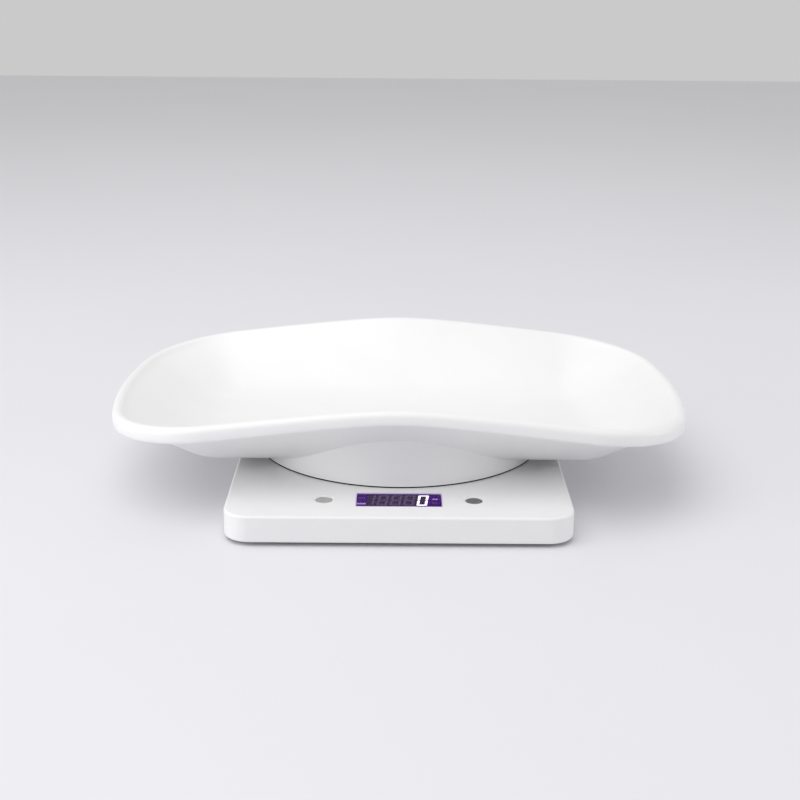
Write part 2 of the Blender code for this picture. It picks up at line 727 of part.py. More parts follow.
def make_board(parent, look):
    board = bmesh.new()
    x, y = BOARD_SIZE[0] / 2, BOARD_SIZE[1] / 2
    outline = rounded_rectangle((-x, x), (DISPLAY_Y - y, DISPLAY_Y + y), 0.001, 2)
    add_prism(board, outline, BOARD_BOTTOM, BOARD_TOP)
    circuit = piece("circuit_board", mesh_of("circuit_board", board, look["board"]), parent)
    holes = bmesh.new()
    for place in BOARD_SCREW_PLACES:
        add_cylinder(holes, BOARD_HOLE, BOARD_BOTTOM - CUT, BOARD_TOP + CUT, place, 12)
    cut(circuit, holes)
    chip = bmesh.new()
    high = BOARD_BOTTOM - GAP
    y = (DISPLAY_Y - CHIP_HALF, DISPLAY_Y + CHIP_HALF)
    add_box(chip, (-CHIP_HALF, CHIP_HALF), y, (high - CHIP_THICKNESS, high))
    piece("controller_chip", mesh_of("controller_chip", chip, look["chip"]), parent)
    head_face = BOARD_BOTTOM - GAP - BOARD_SCREW[1]
    places = BOARD_SCREW_PLACES
    make_screws("board_screw", BOARD_SCREW, places, head_face, parent, look["steel"])


def make_button(side_name, side, parent, look):
    """One key: a dished cap with a collar that keeps it in the cover, and the switch that it works."""
    place = (side * BUTTON_X, DISPLAY_Y)
    axis = axis_empty(f"button_{side_name}_axis", parent, (*place, 0.0))
    collar_top = ROOF_UNDERSIDE - GAP
    collar = BUTTON_RADIUS + COLLAR_WIDTH
    cap_top = BASE_TOP - BUTTON_RING_DEPTH
    bottom = collar_top - COLLAR_THICKNESS
    profile = [(0, bottom), (collar, bottom), (collar, collar_top), (BUTTON_RADIUS, collar_top)]
    profile += [(BUTTON_RADIUS, cap_top - BUTTON_EDGE), (BUTTON_RADIUS - BUTTON_EDGE, cap_top)]
    for share in (0.75, 0.45, 0):
        profile.append((BUTTON_RADIUS * share, cap_top - BUTTON_DISH * (1 - share**2)))
    cap = bmesh.new()
    add_turned(cap, profile, sides=24)
    piece(f"button_{side_name}", mesh_of("button", cap, look["button"]), axis)

    switch_top = bottom - GAP - BUTTON_TRAVEL
    well_floor = BOARD_TOP + GAP + SWITCH_FLOOR
    stem = bmesh.new()
    stem_bottom = well_floor + BUTTON_TRAVEL + GAP
    add_cylinder(stem, STEM_RADIUS, stem_bottom, bottom - GAP, sides=16)
    piece(f"switch_stem_{side_name}", mesh_of("switch_stem", stem, look["chip"]), axis)
    body = bmesh.new()
    across = (-SWITCH_HALF, SWITCH_HALF)
    add_box(body, across, across, (BOARD_TOP + GAP, switch_top))
    name = f"tact_switch_{side_name}"
    switch = piece(name, mesh_of("tact_switch", body, look["steel"]), parent, (*place, 0.0))
    well = bmesh.new()
    add_cylinder(well, STEM_RADIUS + GAP, well_floor, switch_top + CUT, sides=16)
    cut(switch, well)


# ---------------------------------------------------------------- weighing parts


def make_load_cell(parent, look):
    length, width, height = BEAM_SIZE
    beam = bmesh.new()
    add_box(beam, (-length / 2, length / 2), (-width / 2, width / 2), (BEAM_BOTTOM, BEAM_TOP))
    cell = piece("load_cell", mesh_of("load_cell", beam, look["aluminium"]), parent)
    # Two holes joined by a slot leave the thin sections that bend under load.
    middle = BEAM_BOTTOM + height / 2
    outline = []
    for centre, start in ((BEAM_SLOT_ENDS, -150), (-BEAM_SLOT_ENDS, 30)):
        for i in range(11):
            angle = math.radians(start + 30 * i)
            up = middle + BEAM_SLOT_RADIUS * math.sin(angle)
            outline.append((centre + BEAM_SLOT_RADIUS * math.cos(angle), up))
    window = bmesh.new()
    front = [(x, -width, z) for x, z in outline]
    back = [(x, width, z) for x, z in outline]
    add_rings(window, [front, back])
    cut(cell, window)
    holes = bmesh.new()
    for side in (-1, 1):
        for x in BEAM_SCREW_X:
            low, high = BEAM_BOTTOM - CUT, BEAM_TOP + CUT
            add_cylinder(holes, BEAM_BOLT_HOLE, low, high, (side * x, 0.0), 16)
    cut(cell, holes)

    sealant = bmesh.new()
    half_x, half_y = SEALANT_HALF
    outline = rounded_rectangle((-half_x, half_x), (-half_y, half_y), 0.001, 3)
    add_prism(sealant, outline, BEAM_TOP + GAP, BEAM_TOP + GAP + SEALANT_THICKNESS)
    piece("gauge_sealant", mesh_of("gauge_sealant", sealant, look["sealant"]), parent)

    places = [(-x, 0.0) for x in BEAM_SCREW_X]
    head_face = FLOOR_UNDERSIDE + HEAD_SET
    make_screws("load_cell_screw", BEAM_SCREW, places, head_face, parent, look["steel"])


def make_platform(parent, look):
    """The round plate under the tray, with the post that stands on the load cell's free end."""
    plate = bmesh.new()
    edge = PLATE_RADIUS - PLATE_EDGE
    profile = [(0, PLATE_BOTTOM), (edge, PLATE_BOTTOM), (PLATE_RADIUS, PLATE_BOTTOM + PLATE_EDGE)]
    profile += [(PLATE_RADIUS, PLATE_TOP - PLATE_EDGE), (edge, PLATE_TOP), (0, PLATE_TOP)]
    add_turned(plate, profile, sides=56)
    plate_mesh = mesh_of("platform_plate", plate, look["platform"])
    platform = piece("platform_plate", plate_mesh, parent)
    post = bmesh.new()
    y = (-POST_HALF_WIDTH, POST_HALF_WIDTH)
    outline = rounded_rectangle(POST_X, y, POST_CORNER, 3)
    add_prism(post, outline, BEAM_TOP + GAP, PLATE_BOTTOM + BOSS_ROOT)
    join(platform, post)
    holes = bmesh.new()
    for x in BEAM_SCREW_X:
        seat = PLATE_TOP - POST_SCREW_SEAT
        profile = [(0, BEAM_TOP - CUT), (POST_HOLE, BEAM_TOP - CUT), (POST_HOLE, seat)]
        profile += [(POST_SCREW_WELL, seat), (POST_SCREW_WELL, PLATE_TOP + CUT)]
        profile.append((0, PLATE_TOP + CUT))
        add_turned(holes, profile, (x, 0.0), 16)
    cut(platform, holes)

    places = [(x, 0.0) for x in BEAM_SCREW_X]
    top = PLATE_TOP - HEAD_SET
    steel = look["steel"]
    make_screws("platform_screw", POST_SCREW, places, top, parent, steel, pointing_up=False)

    # The pads fill the space between the plate and the tray's floor.
    pad = bmesh.new()
    height = TRAY_UNDERSIDE - PLATE_TOP - 2 * GAP
    profile = [(0, 0), (PAD_RADIUS, 0), (PAD_RADIUS, height - PAD_EDGE)]
    profile += [(PAD_RADIUS - PAD_EDGE, height), (0, height)]
    add_turned(pad, profile, sides=24)
    mesh = mesh_of("platform_pad", pad, look["rubber"])
    for number, (x, y) in enumerate(PAD_PLACES, 1):
        piece(f"platform_pad_{number}", mesh, parent, (x, y, PLATE_TOP + GAP))


# ---------------------------------------------------------------- batteries and wiring


def make_cells(parent, look):
    bm = bmesh.new()
    half = CELL_LENGTH / 2
    nub_radius, nub_height = CELL_NUB
    shoulder = half - nub_height
    profile = [(0, -half), (CELL_RADIUS - CELL_EDGE, -half), (CELL_RADIUS, -half + CELL_EDGE)]
    profile += [(CELL_RADIUS, shoulder - CELL_EDGE), (CELL_RADIUS - CELL_EDGE, shoulder)]
    profile += [(nub_radius, shoulder), (nub_radius, half), (0, half)]
    add_turned(bm, profile, sides=20)
    mesh = mesh_of("battery", bm, look["cell"])
    for number, side in ((1, -1), (2, 1)):
        place = (0.0, BAY_Y + side * CELL_SPACING / 2, CELL_AXIS_Z)
        cell = piece(f"battery_{number}", mesh, parent, place)
        cell.rotation_euler.y = side * math.pi / 2


def add_contact_spring(bm, x_plate, direction, y):
    """A short cone of wire that stands on a contact plate and reaches towards the cells."""
    steps = int(12 * SPRING_TURNS)
    path = []
    for i in range(steps + 1):
        share = i / steps
        angle = 2 * math.pi * SPRING_TURNS * share
        radius = SPRING_RADII[0] + (SPRING_RADII[1] - SPRING_RADII[0]) * share
        path.append((
            x_plate + direction * SPRING_REACH * share,
            y + radius * math.cos(angle),
            CELL_AXIS_Z + radius * math.sin(angle),
        ))
    add_tube(bm, path, SPRING_WIRE)


def make_contacts(parent, look):
    """Plus end of cell 1 and minus end of cell 2 are at -X; the bridge joins the others at +X."""
    inner = BAY_HALF_LENGTH - CONTACT_SET
    contacts = (
        ("battery_contact_positive", -1, (-1,), ()),
        ("battery_contact_negative", -1, (), (1,)),
        ("battery_contact_bridge", 1, (1,), (-1,)),
    )
    for name, end, plus_rows, minus_rows in contacts:
        rows = [BAY_Y + row * CELL_SPACING / 2 for row in plus_rows + minus_rows]
        x = sorted((end * inner, end * (inner + CONTACT_THICKNESS)))
        y = (min(rows) - CONTACT_HALF_WIDTH, max(rows) + CONTACT_HALF_WIDTH)
        bm = bmesh.new()
        add_box(bm, x, y, CONTACT_HEIGHT)
        contact = piece(name, mesh_of(name, bm, look["spring"]), parent)
        for row in plus_rows:
            button = bmesh.new()
            reach = sorted((end * (CELL_LENGTH / 2 + GAP), end * (inner + CONTACT_THICKNESS / 2)))
            across = BAY_Y + row * CELL_SPACING / 2
            half = CONTACT_BOSS_HALF
            up = (CELL_AXIS_Z - half, CELL_AXIS_Z + half)
            add_box(button, reach, (across - half, across + half), up)
            join(contact, button)
        for row in minus_rows:
            coil = bmesh.new()
            root = end * (inner + CONTACT_THICKNESS / 4)
            add_contact_spring(coil, root, -end, BAY_Y + row * CELL_SPACING / 2)
            join(contact, coil)


def make_battery_door(parent, material):
    door_axis = axis_empty("battery_door_axis", parent, (0.0, BAY_Y, 0.0))
    top = FLOOR_UNDERSIDE + DOOR_THICKNESS
    plate = bmesh.new()
    y = (-DOOR_HALF_WIDTH, DOOR_HALF_WIDTH)
    add_box(plate, (-DOOR_HALF_LENGTH, DOOR_HALF_LENGTH), y, (FLOOR_UNDERSIDE, top))
    door = piece("battery_door", mesh_of("battery_door", plate, material), door_axis)
    hook_bottom = FLOOR_TOP + GAP
    hook_top = hook_bottom + HOOK_LIP
    outer = HOOK_X + HOOK_THICKNESS
    reach = outer + HOOK_REACH
    root = top - HOOK_ROOT
    legs = [(HOOK_X, root), (outer, root), (outer, hook_bottom), (reach, hook_bottom)]
    legs += [(reach, hook_top), (HOOK_X, hook_top)]
    for side in (-1, 1):
        for start in HOOK_STARTS:
            hook = bmesh.new()
            front = [(side * x, start, z) for x, z in legs]
            back = [(side * x, start + HOOK_LENGTH, z) for x, z in legs]
            add_rings(hook, [front, back])
            join(door, hook)
    grooves = bmesh.new()
    half_x, half_y = GRIP_HALF
    depth = (FLOOR_UNDERSIDE - CUT, FLOOR_UNDERSIDE + GRIP_DEPTH)
    for number in range(GRIP_GROOVES):
        y = DOOR_HALF_WIDTH - GRIP_FIRST - GRIP_PITCH * number
        add_box(grooves, (-half_x, half_x), (y - half_y, y + half_y), depth)
    cut(door, grooves)


def smooth_route(points, steps):
    """A Catmull-Rom curve through a wire's own points."""
    padded = [points[0], *points, points[-1]]
    route = []
    for i in range(len(points) - 1):
        a, b, c, d = padded[i:i + 4]
        for step in range(steps):
            t = step / steps
            route.append(tuple(
                0.5 * (2 * b[k] + (c[k] - a[k]) * t
                       + (2 * a[k] - 5 * b[k] + 4 * c[k] - d[k]) * t**2
                       + (3 * b[k] - a[k] - 3 * c[k] + d[k]) * t**3)
                for k in range(3)
            ))
    return route + [points[-1]]


def make_wire(name, points, radius, parent, material):
    curve = bpy.data.curves.new(name, "CURVE")
    curve.dimensions = "3D"
    curve.bevel_depth = radius
    curve.bevel_resolution = 2
    curve.use_fill_caps = True
    spline = curve.splines.new("POLY")
    route = smooth_route(points, 3)
    spline.points.add(len(route) - 1)
    for point, place in zip(spline.points, route):
        point.co = (*place, 1.0)
    curve.materials.append(material)
    wire = bpy.data.objects.new(name, curve)
    bpy.context.scene.collection.objects.link(wire)
    wire.parent = parent


def make_wiring(parent, look):
    board_edge = DISPLAY_Y + BOARD_SIZE[1] / 2 + GAP
    height = BOARD_BOTTOM + BOARD_THICKNESS / 2
    cable = [(-0.004, -0.0050, 0.0132), (-0.006, -0.0090, 0.0128), (-0.012, -0.020, 0.0080)]
    cable += [(-0.018, -0.045, 0.0056), (-0.017, -0.070, 0.0058)]
    cable += [(-0.015, board_edge + 0.006, height - 0.0004), (-0.015, board_edge, height)]
    make_wire("load_cell_cable", cable, 0.0008, parent, look["cable"])
    bay_front = BAY_Y - BAY_HALF_WIDTH
    for name, side, lane, material in (
        ("battery_lead_red", -1, 0.032, "red"),
        ("battery_lead_black", 1, 0.037, "black"),
    ):
        start = side * NOTCH_X
        lead = [(start, bay_front + 0.0004, 0.0130), (start, bay_front - 0.0025, 0.0130)]
        lead += [(start + side * 0.0015, bay_front - 0.0070, 0.0120)]
        lead += [(side * lane, 0.015, 0.0070), (side * lane, -0.015, 0.0055)]
        lead += [(side * lane * 0.9, -0.055, 0.0056), (side * 0.021, -0.080, 0.0066)]
        lead += [(side * 0.021, board_edge + 0.004, height), (side * 0.021, board_edge, height)]
        make_wire(name, lead, 0.00065, parent, look[material])


# ---------------------------------------------------------------- assembly


def make_looks():
    white = (0.86, 0.86, 0.86)
    return {
        "tray": plastic("glossy_white_abs", white, 0.28),
        "cover": plastic("satin_white_abs", (0.82, 0.82, 0.82), 0.38),
        "floor": plastic("matt_white_abs", (0.74, 0.74, 0.74), 0.55),
        "platform": plastic("dark_glass_filled_nylon", (0.05, 0.05, 0.055), 0.6),
        "button": plastic("grey_key_plastic", (0.30, 0.30, 0.31), 0.4),
        "clear": plastic("clear_acrylic", (0.9, 0.9, 0.95), 0.05, alpha=0.3),
        "screen": plastic("purple_lcd", (0.045, 0.010, 0.14), 0.2),
        "diffuser": plastic("milky_diffuser", (0.85, 0.85, 0.88), 0.6),
        "board": plastic("green_circuit_board", (0.02, 0.16, 0.06), 0.45),
        "chip": plastic("black_epoxy", (0.02, 0.02, 0.02), 0.5),
        "steel": plastic("zinc_plated_steel", (0.60, 0.60, 0.62), 0.35, 1.0),
        "spring": plastic("nickel_plated_steel", (0.66, 0.64, 0.60), 0.25, 1.0),
        "aluminium": plastic("machined_aluminium", (0.75, 0.75, 0.77), 0.35, 1.0),
        "sealant": plastic("white_silicone", (0.80, 0.80, 0.78), 0.7),
        "rubber": plastic("grey_rubber", (0.09, 0.09, 0.09), 0.8),
        "cell": plastic("battery_sleeve", (0.10, 0.22, 0.30), 0.35),
        "cable": plastic("white_pvc", (0.75, 0.75, 0.75), 0.5),
        "red": plastic("red_pvc", (0.55, 0.02, 0.02), 0.5),
        "black": plastic("black_pvc", (0.02, 0.02, 0.02), 0.5),
    }


def main():
    clear_scene()
    look = make_looks()
    base = axis_empty("base_axis", location=(0.0, AXIS_Y, 0.0))
    platform = axis_empty("platform_axis", base)
    tray = axis_empty("tray_axis", platform)

    make_bottom_cover(base, look["floor"])
    make_feet(base, look["rubber"])
    make_load_cell(base, look)
    make_cells(base, look)
    make_contacts(base, look)
    make_battery_door(base, look["floor"])
    make_board(base, look)
    make_display(base, look)
    for side_name, side in (("left", -1), ("right", 1)):
        make_button(side_name, side, base, look)
    make_wiring(base, look)
    make_top_cover(base, look["cover"])
    head_face = FLOOR_UNDERSIDE + HEAD_SET
    make_screws("case_screw", CASE_SCREW, CASE_SCREW_PLACES, head_face, base, look["steel"])
    make_platform(platform, look)
    make_tray(tray, look["tray"])


main()
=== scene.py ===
"""The looks of an animal weighing scale: a saddle-shaped tray on a slim electronic base.

Sections follow the scale as it is put together, from the bottom cover up to the tray. Lengths are
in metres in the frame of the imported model: +Z up, +X along the tray, and -Y towards the display.
"""

import math

import bmesh
import bpy
from mathutils import Matrix, Vector


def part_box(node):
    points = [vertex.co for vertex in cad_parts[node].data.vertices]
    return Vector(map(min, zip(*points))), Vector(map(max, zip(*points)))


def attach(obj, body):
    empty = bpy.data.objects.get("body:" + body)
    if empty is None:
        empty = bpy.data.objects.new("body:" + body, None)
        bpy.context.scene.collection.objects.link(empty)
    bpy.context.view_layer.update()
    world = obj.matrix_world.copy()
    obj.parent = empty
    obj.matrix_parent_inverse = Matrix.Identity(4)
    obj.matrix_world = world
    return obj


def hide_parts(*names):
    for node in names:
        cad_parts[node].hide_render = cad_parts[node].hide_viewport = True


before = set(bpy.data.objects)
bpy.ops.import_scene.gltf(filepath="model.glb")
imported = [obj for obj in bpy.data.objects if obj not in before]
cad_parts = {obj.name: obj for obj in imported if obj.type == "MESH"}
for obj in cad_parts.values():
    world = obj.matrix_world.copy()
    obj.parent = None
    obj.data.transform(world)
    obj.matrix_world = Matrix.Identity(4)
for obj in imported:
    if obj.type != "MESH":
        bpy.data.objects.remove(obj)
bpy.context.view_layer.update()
MM = 0.001

# ------------------------------------------------------------------ bottom cover and battery door
# The bottom cover is a shallow ABS moulding that closes the base from below. The battery door is
# moulded from the same white ABS and slides back on four hooks in the cover's slots.


def linear(code):
    """An sRGB hex colour as the linear RGBA that shaders take."""
    values = [int(code[i : i + 2], 16) / 255 for i in (1, 3, 5)]
    return (*[v / 12.92 if v <= 0.04045 else ((v + 0.055) / 1.055) ** 2.4 for v in values], 1.0)


def add_node(material, kind, inputs, **settings):
    """Add a shader node, set its properties, and give each input a value or another node's output.
    An input goes by its name, or by its number where several share a name."""
    node = material.node_tree.nodes.new(kind)
    for name, value in settings.items():
        setattr(node, name, value)
    for name, value in inputs.items():
        if isinstance(value, bpy.types.NodeSocket):
            material.node_tree.links.new(value, node.inputs[name])
        else:
            node.inputs[name].default_value = value
    return node


def new_material(name, **settings):
    """A material with a Principled shader whose sockets are set by name."""
    material = bpy.data.materials.new(name)
    material.use_nodes = True
    shader = material.node_tree.nodes["Principled BSDF"]
    for socket, value in settings.items():
        shader.inputs[socket.replace("_", " ").title().replace("Ior", "IOR")].default_value = value
    return material, shader


def noise(material, size, detail=3.0, stretch=(1, 1, 1)):
    """Noise whose grain is about this many metres across, fixed to the piece."""
    place = add_node(material, "ShaderNodeTexCoord", {}).outputs["Object"]
    scaled = add_node(material, "ShaderNodeMapping", {"Vector": place, "Scale": stretch})
    grain = {"Vector": scaled.outputs[0], "Scale": 1 / size, "Detail": detail}
    return add_node(material, "ShaderNodeTexNoise", grain).outputs["Fac"]


def vary_colour(material, shader, first, second, pattern, socket="Base Color"):
    """Blend two near colours over the surface by a pattern."""
    blend = {0: pattern, 6: linear(first), 7: linear(second)}
    mix = add_node(material, "ShaderNodeMix", blend, data_type="RGBA")
    material.node_tree.links.new(mix.outputs[2], shader.inputs[socket])


def vary_roughness(material, shader, low, high, pattern):
    """Vary the roughness over the surface by a pattern."""
    spread = {"Value": pattern, "To Min": low, "To Max": high}
    ranged = add_node(material, "ShaderNodeMapRange", spread)
    material.node_tree.links.new(ranged.outputs[0], shader.inputs["Roughness"])


def relief(material, shader, pattern, height, strength=1.0):
    """Raise the surface by a pattern, with its full height in metres."""
    inputs = {"Height": pattern, "Distance": height, "Strength": strength}
    bump = add_node(material, "ShaderNodeBump", inputs)
    material.node_tree.links.new(bump.outputs[0], shader.inputs["Normal"])


def give(material, *names):
    """Give CAD nodes their finish."""
    for name in names:
        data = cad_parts[name].data
        data.materials.clear()
        data.materials.append(material)


# Spark-eroded ABS: the mould's fine grit leaves a dull, even white. The grit is 0.05 mm in the real
# piece and is drawn at 0.4 mm, so that it shows.
eroded_abs, shader = new_material("spark_eroded_abs", roughness=0.55, ior=1.53)
grit = noise(eroded_abs, 0.4 * MM, 2.0)
vary_colour(eroded_abs, shader, "#e4e4e5", "#dcdcdd", grit)
vary_roughness(eroded_abs, shader, 0.48, 0.62, grit)
relief(eroded_abs, shader, grit, 0.02 * MM)
give(eroded_abs, "bottom_cover", "battery_door")

# ------------------------------------------------------------------ feet
# Four round feet of moulded rubber stand in shallow wells of the bottom cover and are glued there.
# Each has a rounded tread edge and a ring groove, so that it grips a wet bench.


def circle(radius, height, centre, sides):
    """Points round a circle, anticlockwise from above."""
    angles = [2 * math.pi * i / sides for i in range(sides)]
    return [
        (centre[0] + radius * math.cos(a), centre[1] + radius * math.sin(a), height)
        for a in angles
    ]


def skin(bm, rings, closed=False):
    """Join rings of points, each anticlockwise from above and the lowest first, into a closed skin.
    A ring of one point makes a fan."""
    count = max(len(ring) for ring in rings)
    loops = []
    for ring in rings:
        verts = [bm.verts.new(point) for point in ring]
        loops.append(verts * (count // len(verts)))
    pairs = list(zip(loops, loops[1:]))
    if closed:
        pairs.append((loops[-1], loops[0]))
    for low, high in pairs:
        for i in range(count):
            j = (i + 1) % count
            corners = dict.fromkeys((low[i], low[j], high[j], high[i]))
            if len(corners) > 2:
                bm.faces.new(tuple(corners))
    if not closed and len(rings[0]) > 2:
        bm.faces.new(loops[0][::-1])
    if not closed and len(rings[-1]) > 2:
        bm.faces.new(loops[-1])


def turn(bm, profile, centre=(0.0, 0.0), sides=48):
    """Turn (radius, height) points, bottom to top up the outer side, about a vertical axis."""
    rings = []
    for radius, height in profile:
        ring = circle(radius, height, centre, sides) if radius > 0 else [(*centre, height)]
        rings.append(ring)
    skin(bm, rings, closed=profile[0][0] > 0 and profile[-1][0] > 0)


def rounded_corner(corner, radius, start, turn_by, steps=4):
    """(radius, height) points round a profile's corner: an arc about an inner centre."""
    points = []
    for i in range(steps + 1):
        angle = math.radians(start + turn_by * i / steps)
        points.append((corner[0] + radius * math.cos(angle), corner[1] + radius * math.sin(angle)))
    return points


def new_piece(name, bm, body, material, sharp=35):
    """Turn a mesh into a smooth-shaded piece that rides on a body."""
    bmesh.ops.recalc_face_normals(bm, faces=bm.faces)
    mesh = bpy.data.meshes.new(name)
    bm.to_mesh(mesh)
    bm.free()
    return show(name, mesh, body, material, sharp)


def show(name, mesh, body, material, sharp=35):
    """Shade a finished mesh, give it its material, and ride it on a body; sharp is in degrees."""
    mesh.shade_smooth()
    mesh.set_sharp_from_angle(angle=math.radians(sharp))
    mesh.materials.clear()
    mesh.materials.append(material)
    obj = bpy.data.objects.new(name, mesh)
    bpy.context.scene.collection.objects.link(obj)
    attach(obj, body)
    return obj


def middle_of(node):
    """The middle of a CAD node's box."""
    low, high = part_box(node)
    return (low + high) / 2


# Moulded rubber: near black with a dusty bloom, and no gloss at all.
rubber, shader = new_material("moulded_rubber", roughness=0.85, ior=1.52)
bloom = noise(rubber, 1.5 * MM, 5.0)
vary_colour(rubber, shader, "#3a3a3b", "#4a4a4b", bloom)
relief(rubber, shader, noise(rubber, 0.3 * MM), 0.03 * MM)

for number in range(1, 5):
    low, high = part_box(f"rubber_foot_{number}")
    centre = middle_of(f"rubber_foot_{number}").xy
    radius = (high.x - low.x) / 2
    edge, groove = 0.5 * MM, 0.35 * MM
    profile = [(0, groove), (radius * 0.30, groove), (radius * 0.36, 0), (radius * 0.62, 0)]
    profile += [(radius * 0.66, groove), (radius * 0.74, groove), (radius * 0.78, 0)]
    profile += rounded_corner((radius - edge, edge), edge, -90, 90)
    profile += [(radius, high.z), (0, high.z)]
    bm = bmesh.new()
    turn(bm, profile, centre)
    foot = new_piece(f"foot_{number}", bm, "base", rubber)
    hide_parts(f"rubber_foot_{number}")

# ------------------------------------------------------------------ screws
# Zinc-plated pan-head screws: six close the case, two hold the load cell, four the circuit board
# and two the platform. The heads that can be seen are turned and pressed with a cross recess.


def applied(obj):
    """The mesh of an object with its modifiers, in the frame; the object itself is removed."""
    bpy.context.view_layer.update()
    graph = bpy.context.evaluated_depsgraph_get()
    mesh = bpy.data.meshes.new_from_object(obj.evaluated_get(graph))
    bpy.data.objects.remove(obj, do_unlink=True)
    return mesh


def draft(name, bm):
    """An object that is still being worked on."""
    bmesh.ops.recalc_face_normals(bm, faces=bm.faces)
    mesh = bpy.data.meshes.new(name)
    bm.to_mesh(mesh)
    bm.free()
    obj = bpy.data.objects.new(name, mesh)
    bpy.context.scene.collection.objects.link(obj)
    return obj


def worked(name, bm, *tools):
    """Cut or join tools, given as (operation, mesh), in turn, and return the finished mesh."""
    obj = draft(name, bm)
    helpers = []
    for number, (operation, tool) in enumerate(tools):
        helper = draft(f"{name}_tool_{number}", tool)
        modifier = obj.modifiers.new(helper.name, "BOOLEAN")
        modifier.operation = operation
        modifier.object = helper
        helpers.append(helper)
    mesh = applied(obj)
    for helper in helpers:
        bpy.data.objects.remove(helper, do_unlink=True)
    return mesh


def prism(bm, outline, low, high):
    """A straight block between two heights, on an outline that runs anticlockwise from above."""
    skin(bm, [[(x, y, low) for x, y in outline], [(x, y, high) for x, y in outline]])


# Zinc plate on steel: a cool, slightly blue metal, dulled unevenly by the plating bath.
zinc, shader = new_material("zinc_plated_steel", metallic=1.0, roughness=0.32)
bath = noise(zinc, 1.2 * MM, 4.0)
vary_colour(zinc, shader, "#b9bbc2", "#a5a8b0", bath)
vary_roughness(zinc, shader, 0.24, 0.40, bath)


def add_screw(name, node, body, head_height, shank_share, facing):
    """A pan-head screw along Z in the place of a CAD screw; facing is -1 if its head is below."""
    low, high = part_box(node)
    centre = middle_of(node)
    head = (high.x - low.x) / 2
    shank = head * shank_share
    length = high.z - low.z
    dome = head_height * 0.35
    profile = [(0, 0)]
    for share in (0.35, 0.62, 0.82, 0.94):
        profile.append((head * share, dome * share**4))
    profile += [(head, dome * 1.3), (head, head_height), (shank, head_height)]
    profile += [(shank, length - shank), (shank * 0.2, length), (0, length)]
    bm = bmesh.new()
    turn(bm, profile, sides=32)
    half, arm = head * 0.12, head * 0.55
    outline = []
    for quarter in range(4):
        spin = Matrix.Rotation(quarter * math.pi / 2, 2)
        for point in ((arm, -half), (arm, half), (half, half)):
            outline.append(spin @ Vector(point))
    recess = bmesh.new()
    prism(recess, outline, -head_height, head_height * 0.55)
    mesh = worked(name, bm, ("DIFFERENCE", recess))
    if facing > 0:
        mesh.transform(Matrix.Rotation(math.pi, 4, "X"))
    start = low.z if facing < 0 else high.z
    mesh.transform(Matrix.Translation((centre.x, centre.y, start)))
    screw = show(name, mesh, body, zinc)
    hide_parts(node)


for number in range(1, 7):
    add_screw(f"case_screw_head_{number}", f"case_screw_{number}", "base", 1.3 * MM, 0.44, -1)
for number in (1, 2):
    add_screw(f"beam_screw_{number}", f"load_cell_screw_{number}", "base", 1.3 * MM, 0.5, -1)
    add_screw(f"post_screw_{number}", f"platform_screw_{number}", "platform", 1.2 * MM, 0.5, 1)
give(zinc, *[f"board_screw_{number}" for number in range(1, 5)])

# ------------------------------------------------------------------ load cell
# A machined aluminium beam, screwed to the bottom cover at one end and to the platform's post at
# the other. Silicone seals the gauges on its thin middle, and a white cable runs to the board.

# Milled aluminium: bright, with fine tool lines along the beam, 0.3 mm apart.
milled, shader = new_material("milled_aluminium", metallic=1.0, roughness=0.34)
lines = noise(milled, 0.3 * MM, 2.0, stretch=(0.05, 1, 1))
vary_colour(milled, shader, "#d2d3d6", "#c0c2c6", lines)
vary_roughness(milled, shader, 0.26, 0.42, lines)
relief(milled, shader, lines, 0.01 * MM)
give(milled, "load_cell")

# Silicone: soft white, with a waxy skin that light goes a little way into.
silicone, shader = new_material("silicone_sealant", roughness=0.5, ior=1.41)
vary_colour(silicone, shader, "#ecebe6", "#e0dfd8", noise(silicone, 2 * MM))
relief(silicone, shader, noise(silicone, 1.5 * MM), 0.1 * MM)
give(silicone, "gauge_sealant")

# PVC jackets on the wires: a smooth, slightly greasy sheen over a plain colour.
for name, first, second, nodes in (
    ("white_pvc", "#dedede", "#d2d2d0", ("load_cell_cable",)),
    ("red_pvc", "#b3201c", "#a01814", ("battery_lead_red",)),
    ("black_pvc", "#1d1d1e", "#262627", ("battery_lead_black",)),
):
    pvc, shader = new_material(name, roughness=0.42, ior=1.54)
    vary_colour(pvc, shader, first, second, noise(pvc, 3 * MM))
    give(pvc, *nodes)

# ------------------------------------------------------------------ batteries and contacts
# Two AAA cells in film sleeves lie head to tail in the bay, between pressed contacts of
# nickel-plated spring steel. Each sleeve is dark grey with a copper-coloured band at its plus end.

for node, plus in (("battery_1", -1), ("battery_2", 1)):
    low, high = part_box(node)
    sleeve, shader = new_material(f"film_sleeve_{node}", metallic=0.3, roughness=0.28)
    place = add_node(sleeve, "ShaderNodeTexCoord", {}).outputs["Object"]
    along = add_node(sleeve, "ShaderNodeSeparateXYZ", {"Vector": place}).outputs["X"]
    third = (high.x - low.x) * 0.3
    start, end = (high.x - third, high.x) if plus > 0 else (low.x + third, low.x)
    band = {"Value": along, "From Min": start, "From Max": start + (end - start) * 0.02}
    ranged = add_node(sleeve, "ShaderNodeMapRange", band)
    vary_colour(sleeve, shader, "#2c2e31", "#b9733c", ranged.outputs[0])
    vary_roughness(sleeve, shader, 0.22, 0.36, noise(sleeve, 4 * MM))
    give(sleeve, node)

# Nickel plate: warmer than zinc and almost a mirror, with faint rolling lines.
nickel, shader = new_material("nickel_plated_spring_steel", metallic=1.0, roughness=0.2)
rolling = noise(nickel, 0.4 * MM, 2.0, stretch=(1, 1, 0.05))
vary_colour(nickel, shader, "#cfc9bf", "#bdb6aa", rolling)
vary_roughness(nickel, shader, 0.15, 0.28, rolling)
give(nickel, "battery_contact_positive", "battery_contact_negative", "battery_contact_bridge")

